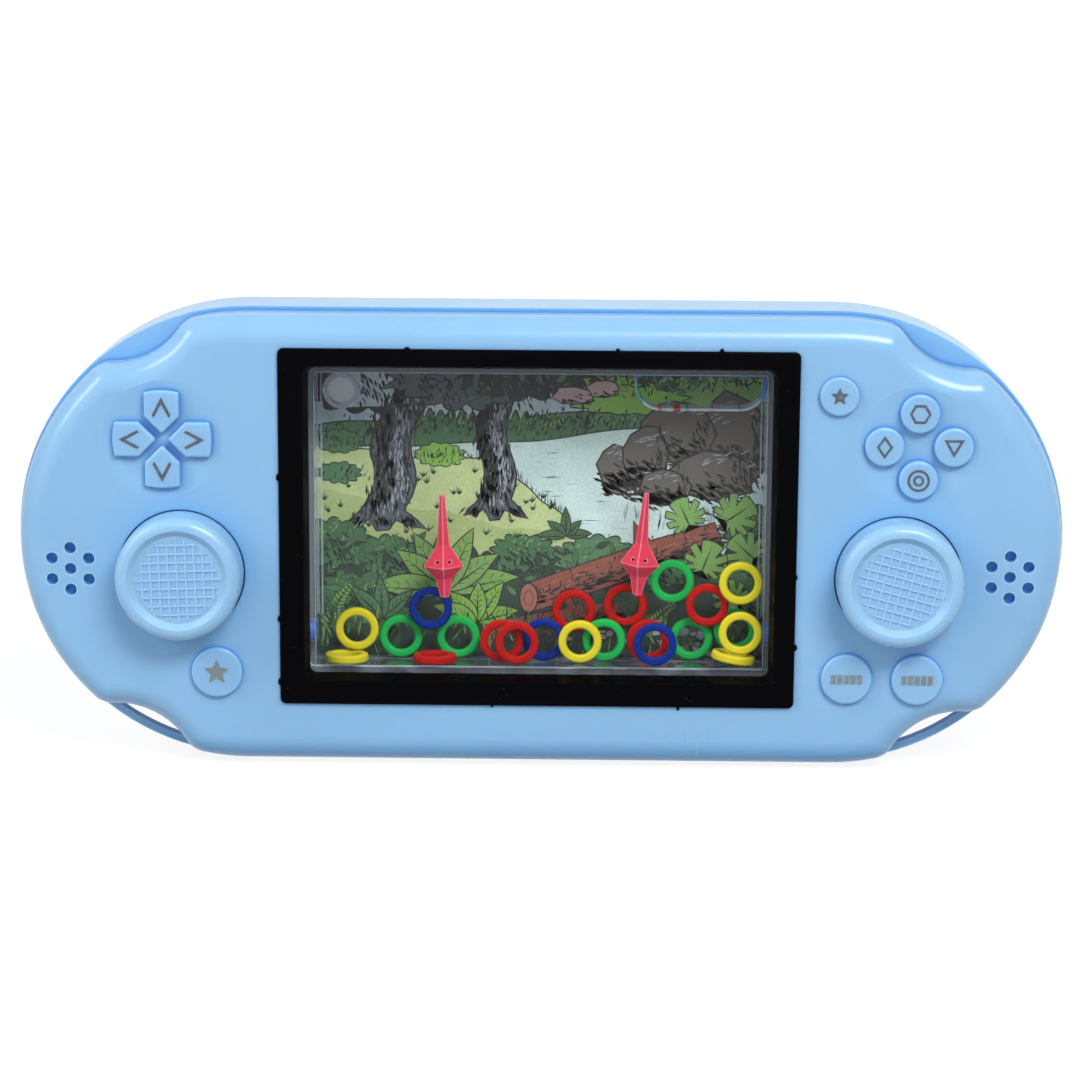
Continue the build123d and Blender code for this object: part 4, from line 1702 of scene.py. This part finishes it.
    def leafy_ground(self) -> None:
        """Broad-leaved plants, notched leaves and ferns in front of the bushes."""
        draws = self.draws
        for row in (
            ((-16.5, 12.5), 7, 12.5, 4.4, Ink.LEAF_GREEN),
            ((-11.0, 7.0), 5, 9.0, 3.4, Ink.BRIGHT_GREEN, 2.2),
            ((-27.5, 7.5), 5, 8.0, 2.8, Ink.FAR_GREEN, 2.6),
            ((4.5, 22.5), 5, 5.0, 1.9, Ink.MID_GREEN, 2.6),
        ):
            self.plant(*row)
        self.finish("print_broad_leaves")
        for (u, v), size, angle in (
            ((25.5, 25.5), 4.4, 2.0), ((33.0, 26.0), 5.0, 0.6), ((36.5, 19.5), 4.6, 2.4),
            ((28.5, 17.5), 4.8, 1.2), ((34.0, 11.5), 4.2, 2.6),
        ):
            self.area(split_leaf((u, v), size, angle), Ink.LEAF_GREEN, 0.2)
            self.next_layer()
            self.stroke((u - math.cos(angle) * size * 0.5, v - math.sin(angle) * size * 0.5),
                        size * 1.4, angle, 0.3)
        self.finish("print_notched_leaves")
        for row in (
            ((-37, 6), 9, 1.35, Ink.LEAF_GREEN), ((-36, 5), 9, 0.7, Ink.MID_GREEN),
            ((-37, 8), 8, 1.9, Ink.MID_GREEN), ((17.5, 5.5), 8, 1.9, Ink.MID_GREEN),
            ((18.5, 5.0), 8, 1.1, Ink.LEAF_GREEN), ((37, 4), 8, 2.1, Ink.MID_GREEN),
        ):
            self.fern(*row)
        self.finish("print_ferns")
        blades = 70
        for ink in (Ink.GLOOM, Ink.LINE, Ink.DEEP_GREEN, Ink.MID_GREEN, Ink.LEAF_GREEN):
            self.next_layer()
            for _ in range(blades):
                base = (draws.uniform(-39, 39), draws.uniform(0.0, 7.5))
                self.stroke(base, draws.uniform(1.5, 4.2), math.pi / 2 + draws.uniform(-0.7, 0.7), 0.36,
                            ink)
        self.finish("print_undergrowth")

    def pebbles(self) -> None:
        """Pale stones at the water's edge."""
        draws, stones = self.draws, 20
        for _ in range(stones):
            centre = (draws.uniform(1, 37), draws.uniform(1.2, 6.6))
            self.area(lump(centre, draws.uniform(1.6, 4.2), draws.uniform(1.0, 2.2), 9, draws),
                      draws.choice((Ink.PINK_STONE, Ink.PINK_STONE, Ink.PALE_GREY)), 0.2)
        for centre, width, height in (((5.5, 47.3), 8, 3.6), ((10.5, 48.6), 6, 3.2)):
            self.area(lump(centre, width, height, 9, draws), Ink.PINK_STONE, 0.24)
            self.hatch((centre[0], centre[1] - 0.8), (width * 0.5, 0.6), 14, -0.3, 1.4, 0.34)
        self.finish("print_pebbles")


@dataclass(frozen=True)
class Backdrop:
    """Printed card behind the tank: sizes in metres."""

    print_depth: float = mm(0.25)
    hole_radius: float = mm(3.25)
    corner: float = mm(1.2)
    seed: int = 11

    def build(self, filler: Vector) -> None:
        """Build the card and print on it.

        Args:
            filler: axis of the filler neck, which the card is holed for.
        """
        low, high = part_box("backdrop_card")
        face_y = low.y + self.print_depth
        self.card(low, high, face_y, filler)
        hole = ((filler.x / mm(1.0), (filler.z - low.z) / mm(1.0)), self.hole_radius / mm(1.0))
        picture = Landscape(low.z, face_y, hole, random.Random(self.seed))
        picture.paint()
        log.info("the print's nearest layer is %.3f mm into its depth", (face_y - picture.y) / mm(1.0))

    def card(self, low: Vector, high: Vector, face_y: float, filler: Vector) -> None:
        """The bare card with its rounded corners and filler hole.

        Args:
            low: the card's lowest corner.
            high: its highest corner.
            face_y: depth of its printed face.
            filler: axis of the filler neck.
        """
        bm = bmesh.new()
        outline = []
        corners = ((high.x, high.z), (low.x, high.z), (low.x, low.z), (high.x, low.z))
        for quarter, (x, z) in enumerate(corners):
            centre = (x - math.copysign(self.corner, x), z + self.corner * (1 if z == low.z else -1))
            outline += round_outline(centre, self.corner, 24, quarter * math.pi / 2)[:7]
        hole = round_outline((filler.x, filler.z), self.hole_radius, Press.hole_count)
        thicken(bm, holed_faces(bm, outline, hole, face_y), high.y - face_y, keep=True)
        paper = PrintInk("card_paper", (0.62, 0.62, 0.60), 0.06).make()
        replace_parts(piece("printed_card", bm, [paper]), "backdrop_card")


# ---------------------------------------------------------------- studio


def seen_white(w: Wiring) -> Socket:
    """One where the backdrop is looked at, straight, in a reflection or through glass.

    Args:
        w: the tree's wiring.

    Returns:
        The mask.
    """
    path = w.node("LightPath").outputs
    return w.larger(path["Is Camera Ray"], w.larger(path["Is Glossy Ray"], path["Is Transmission Ray"]))


@dataclass(frozen=True)
class FloorPaper(Finish):
    """Paper that is white to the eye, whiter still far away, and grey as light."""

    grey: float = 0.45
    grey_seen: float = 0.14
    near: float = 0.3
    far: float = 0.8
    near_white: float = 0.89

    def surface(self, w: Wiring, place: Socket) -> Socket:
        """Wire the paper's surface.

        Args:
            w: the material's wiring.
            place: Object coordinates.

        Returns:
            The shader's output.
        """
        seen = seen_white(w)
        away = w.filled("VectorMath", (place,), 1, operation="LENGTH")
        white = w.ramp(w.ramp(away, self.near, self.far), 0.0, 1.0, self.near_white, 1.0)
        return w.shader(
            Base_Color=w.mix(seen, (self.grey,) * 3, (self.grey_seen,) * 3),
            Roughness=0.9,
            Specular_IOR_Level=0.0,
            Emission_Color=(1.0, 1.0, 1.0),
            Emission_Strength=w.times(seen, white),
        )


class Softbox(NamedTuple):
    """A rectangular lamp that faces the object: metres and watts."""

    name: str
    place: Vector
    size: tuple[float, float]
    power: float
    mirrored: bool = True


def in_scene(name: str, data: bpy.types.ID) -> bpy.types.Object:
    """Link a new object of the studio into the scene.

    Args:
        name: its name.
        data: its mesh, lamp or camera.

    Returns:
        The object.
    """
    made = bpy.data.objects.new(name, data)
    bpy.context.scene.collection.objects.link(made)
    return made


@dataclass(frozen=True)
class Studio:
    """Camera, lamps, floor and world: lengths in metres, angles in degrees."""

    aim: Vector = Vector((mm(0.09), mm(-8.0), mm(40.54)))
    azimuth: float = 0.85
    elevation: float = 12.05
    distance: float = mm(549.8)
    roll: float = 0.366
    lens: float = 107.6
    sensor: float = 36.0
    nearest: float = 0.01
    floor_reach: float = 3.0
    air: Colour = (0.80, 0.91, 1.0)
    air_strength: float = 0.4
    lamps: tuple[Softbox, ...] = (
        Softbox("key_softbox", Vector((0.40, -0.80, 0.84)), (0.62, 0.34), 10.8),
        Softbox("fill_softbox", Vector((-0.8, -0.8, 0.35)), (0.9, 0.9), 1.6),
        Softbox("left_strip", Vector((-0.80, -0.36, 0.62)), (0.2, 0.62), 3.6),
        Softbox("back_softbox", Vector((0.25, 0.95, 0.26)), (0.9, 0.45), 5.0, mirrored=False),
    )

    def build(self) -> None:
        """Set up everything that isn't the object."""
        bpy.context.scene.view_settings.view_transform = "Standard"
        self.camera()
        self.world()
        self.floor()
        for box in self.lamps:
            self.lamp(box)

    def camera(self) -> None:
        """Place the camera at the viewing angle."""
        turn, up = math.radians(self.azimuth), math.radians(self.elevation)
        back = Vector((math.sin(turn) * math.cos(up), -math.cos(turn) * math.cos(up), math.sin(up)))
        data = bpy.data.cameras.new("camera")
        data.lens = self.lens
        data.sensor_width = self.sensor
        data.clip_start = self.nearest
        made = in_scene("camera", data)
        made.location = self.aim + back * self.distance
        made.rotation_mode = "QUATERNION"
        level = (-back).to_track_quat("-Z", "Y")
        made.rotation_quaternion = level @ Quaternion((0, 0, 1), math.radians(self.roll))
        bpy.context.scene.camera = made

    def world(self) -> None:
        """White to the eye, softer as light."""
        world = bpy.data.worlds.new("studio_air")
        world.use_nodes = True
        world.node_tree.nodes.clear()
        w = Wiring(world.node_tree)
        seen = seen_white(w)
        strength = w.plus(self.air_strength, w.times(seen, 1.0 - self.air_strength))
        air = w.node("Background", Color=w.mix(seen, self.air, (1.0, 1.0, 1.0)), Strength=strength)
        w.put(w.node("OutputWorld").inputs["Surface"], air.outputs["Background"])
        bpy.context.scene.world = world

    def floor(self) -> None:
        """Pale floor that keeps the object's shadow."""
        bm = bmesh.new()
        bmesh.ops.create_grid(bm, x_segments=1, y_segments=1, size=self.floor_reach)
        mesh = bpy.data.meshes.new("studio_floor")
        bm.to_mesh(mesh)
        bm.free()
        mesh.materials.append(FloorPaper("floor_paper").make())
        in_scene("studio_floor", mesh)

    def lamp(self, box: Softbox) -> None:
        """Hang a softbox.

        Args:
            box: what it is and where it hangs.
        """
        data = bpy.data.lights.new(box.name, "AREA")
        data.shape = "RECTANGLE"
        data.size, data.size_y = box.size
        data.energy = box.power
        made = in_scene(box.name, data)
        made.location = box.place
        made.rotation_euler = (self.aim - box.place).to_track_quat("-Z", "Y").to_euler()
        made.visible_glossy = box.mirrored


# ---------------------------------------------------------------- the whole


SHELL_BLUE: Colour = (0.275, 0.512, 0.765)
CAP_BLUE: Colour = (0.315, 0.550, 0.780)
# painted crevice colour of the caps: a saturated blue in the gap round each cap, for shade lit through
# the plastic
CAP_CREVICE_SHADE: Colour = (0.100, 0.400, 0.980)
# painted highlight of rounded edges, then painted shade in the lee of raised parts and in crevices
SHELL_EDGE_HIGHLIGHT: Colour = (0.500, 0.740, 0.930)
SHELL_SHADED: Colour = (0.190, 0.440, 0.735)
SHELL_CREVICE_SHADE: Colour = (0.075, 0.260, 0.700)
GLOSS = {"scratches": 0.05, "mottle": 0.02, "grain": 0.02, "ripple": mm(0.018), "subsurface": 0.6}
RING_COLOURS: dict[str, Colour] = {
    "yellow": (0.80, 0.66, 0.03),
    "green": (0.02, 0.48, 0.09),
    "blue": (0.005, 0.026, 0.24),
    "red": (0.50, 0.010, 0.007),
}


def nodes_named(start: str) -> list[str]:
    """CAD nodes whose names begin alike."""
    return [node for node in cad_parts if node.startswith(start)]


@dataclass(frozen=True)
class Game:
    """The whole toy: it dresses the CAD nodes and adds the pieces that only show."""

    tank_wall: float = mm(1.65)
    tank_face: float = mm(1.8)
    filler: Vector = Vector((mm(-34.5), 0.0, mm(64.2)))
    filler_bore: float = mm(2.35)
    slack: float = mm(0.1)
    speaker: Flat = (mm(80.2), mm(34.75))
    speaker_radius: float = mm(5.0)
    speaker_depth: float = mm(2.8)
    # thickness of the speaker pads, whose colour is painted light
    pad_thickness: float = mm(0.5)
    frame_rise: float = mm(0.6)
    nub: float = mm(0.5)
    nub_depth: float = mm(0.45)
    nub_seed: int = 5
    cap_grid: float = mm(8.8)

    def build(self) -> None:
        """Build every sub-assembly in order."""
        for part in (self.housing, self.tank, self.loose_rings, self.pumps):
            part()

    def housing(self) -> None:
        """Shells, screen frame, screws and the marks on the keys."""
        # the shell's paler edges are a painted highlight; its crevice and shaded colours are painted
        # shade
        shell = Moulded("shell_blue", SHELL_BLUE, SHELL_EDGE_HIGHLIGHT, **GLOSS, edge_width=mm(0.5),
                        edge_share=0.85, subsurface_reach=mm(2.2), crevice_shade=SHELL_CREVICE_SHADE,
                        crevice_shade_reach=mm(1.4), crevice_shade_open=0.81, crevice_shade_shut=0.35,
                        shaded=SHELL_SHADED).make()
        dress(("front_shell", "rear_shell"), shell)
        # the frame's edge colour, a hair lighter than its black, is a painted highlight
        black = Moulded("frame_black", (0.0015, 0.0015, 0.002), (0.010, 0.010, 0.011), roughness=0.25,
                        ior=1.09, scratches=0.1, dust=0.04, edge_width=mm(0.25), edge_share=0.4).make()
        dress(("screen_frame",), black)
        dress(nodes_named("housing_screw"), PlatedSteel("screw_steel").make())
        dark = PadInk("pad_ink", (0.070, 0.085, 0.115), (0.12, 0.18, 0.27)).make()
        pale = PadInk("pad_ink_pale", (0.19, 0.215, 0.215), (0.20, 0.31, 0.42)).make()
        Marks().build(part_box("screen_frame")[0].y + self.frame_rise, dark, pale)
        self.speakers()
        self.frame_nubs(black)

    def speakers(self) -> None:
        """Pads behind the speaker holes; their bright blue is painted light from the translucent shell.
        """
        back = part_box("front_shell")[0].y + self.speaker_depth
        # bright blue pad colour and paler edge: painted light seen through the speaker holes
        finish = Moulded("speaker_gauze", (0.16, 0.48, 0.98), (0.18, 0.50, 1.0), roughness=0.6,
                         grain=1.0, ripple=mm(0.08)).make()
        for side, mark in ((-1, "left"), (1, "right")):
            bm = bmesh.new()
            rim = round_outline((side * self.speaker[0], self.speaker[1]), self.speaker_radius, 48)
            face = face_of(bm, rim, back)
            inner = bmesh.ops.inset_region(bm, faces=[face], thickness=mm(1.0), depth=mm(-0.25),
                                           use_boundary=True)
            thicken(bm, [face] + inner["faces"], self.pad_thickness)
            piece(f"{mark}_speaker_gauze", bm, [finish])

    def frame_nubs(self, black: Material) -> None:
        """Torn moulding nubs on the outer edge of the frame.

        Args:
            black: the frame's finish.
        """
        low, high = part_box("screen_frame")
        draws = random.Random(self.nub_seed)
        bm = bmesh.new()
        for x, z in ((low.x, mm(26.3)), (low.x, mm(51.0)), (low.x, mm(15.2)), (high.x, mm(34.4)),
                     (high.x, mm(22.1)), (mm(-22.5), high.z), (mm(13.0), high.z), (mm(30.5), high.z),
                     (mm(-8.0), low.z), (mm(24.0), low.z)):
            made = bmesh.ops.create_icosphere(bm, subdivisions=2, radius=self.nub)["verts"]
            stretch = Vector((draws.uniform(0.5, 1.0), 0.5, draws.uniform(0.7, 1.4)))
            bmesh.ops.scale(bm, vec=stretch, verts=made)
            bmesh.ops.translate(bm, vec=(x, low.y + self.nub_depth, z), verts=made)
        piece("frame_nubs", bm, [black], math.radians(60))

    def tank(self) -> None:
        """Clear tank with its water side, bubble, plug, pegs and card."""
        low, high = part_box("tank_body")
        wet_low = low + Vector((self.tank_wall, self.tank_face, self.tank_wall))
        wet_high = Vector((high.x - self.tank_wall, high.y, high.z - self.tank_wall))
        room = Vector((self.slack,) * 3)
        box = (wet_low - room, wet_high + room)
        dress(("tank_body",), ClearWall("tank_clear", *box).make())
        plate = ClearWall("tank_plate_clear", *box, self.filler, self.filler_bore + self.slack)
        dress(("tank_back_plate",), plate.make())
        dress(("filler_plug",), Rubber("plug_grey", (0.90, 0.85, 0.85)).make())
        bubble = Bubble()
        bubble.build(wet_low, wet_high, AirInWater("air_surface", wet_high.z, bubble.right).make())
        # the pale pink edge colour is a painted highlight on the ridges, the dark red crevice colour
        # painted shade
        pink = Moulded("peg_pink", (0.86, 0.060, 0.110), (1.0, 0.48, 0.55), ior=1.15, roughness=0.3,
                       edge_width=mm(0.45), edge_share=0.8, subsurface=0.4, crevice_shade=(0.42, 0.010, 0.030),
                       crevice_shade_reach=mm(0.8)).make()
        dress(("peg_left", "peg_right"), pink)
        Backdrop().build(self.filler)

    def loose_rings(self) -> None:
        """The rings in the water, each colour in its own plastic."""
        for name, colour in RING_COLOURS.items():
            # the paler edge colour is a painted highlight on the rings' rounded rims
            paler = tuple(min(1.0, part * 1.25 + 0.02) for part in colour)
            finish = Moulded(f"ring_{name}", colour, paler, ior=1.13, roughness=0.28, edge_width=mm(0.3),
                             edge_share=0.5).make()
            dress(nodes_named(f"ring_{name}"), finish)

    def pumps(self) -> None:
        """Thumb caps, plungers, bellows, bases and seals on both sides."""
        # the plungers' paler edge colour is a painted highlight
        white = Moulded("inner_white", (0.72, 0.74, 0.75), (0.8, 0.8, 0.8), roughness=0.4).make()
        # the pump bases' navy is painted shade: shell blue as seen in shade through the gap round each
        # cap
        pump_base_shade = Moulded("pump_base_shade_blue", (0.035, 0.15, 0.50), (0.05, 0.2, 0.6),
                         roughness=0.4).make()
        rubber = Rubber("soft_rubber", (0.10, 0.10, 0.11)).make()
        for side in ("left", "right"):
            low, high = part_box(f"{side}_pump_cap")
            # each cap's edge colour is a painted highlight, and its crevice colour a saturated blue
            # painted into the gap for shade lit through the plastic
            cap = Moulded(f"cap_blue_{side}", CAP_BLUE, SHELL_EDGE_HIGHLIGHT, **GLOSS, edge_width=mm(0.4),
                          edge_share=0.6, subsurface_reach=mm(1.4), roughness=0.27, crevice_shade=CAP_CREVICE_SHADE,
                          crevice_shade_open=0.58, crevice_shade_shut=0.25, satin=((low + high) / 2, self.cap_grid))
            dress((f"{side}_pump_cap",), cap.make())
            dress((f"{side}_pump_plunger",), white)
            dress((f"{side}_pump_base",), pump_base_shade)
            dress((f"{side}_duct_seal", f"{side}_pump_bellows"), rubber)
            Bellows(side).build(rubber)


def main() -> None:
    """Build the toy and its studio."""
    logging.basicConfig(level=logging.INFO, format="%(name)s: %(message)s")
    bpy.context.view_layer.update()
    Studio().build()
    Game().build()


if __name__ == "__main__":
    main()
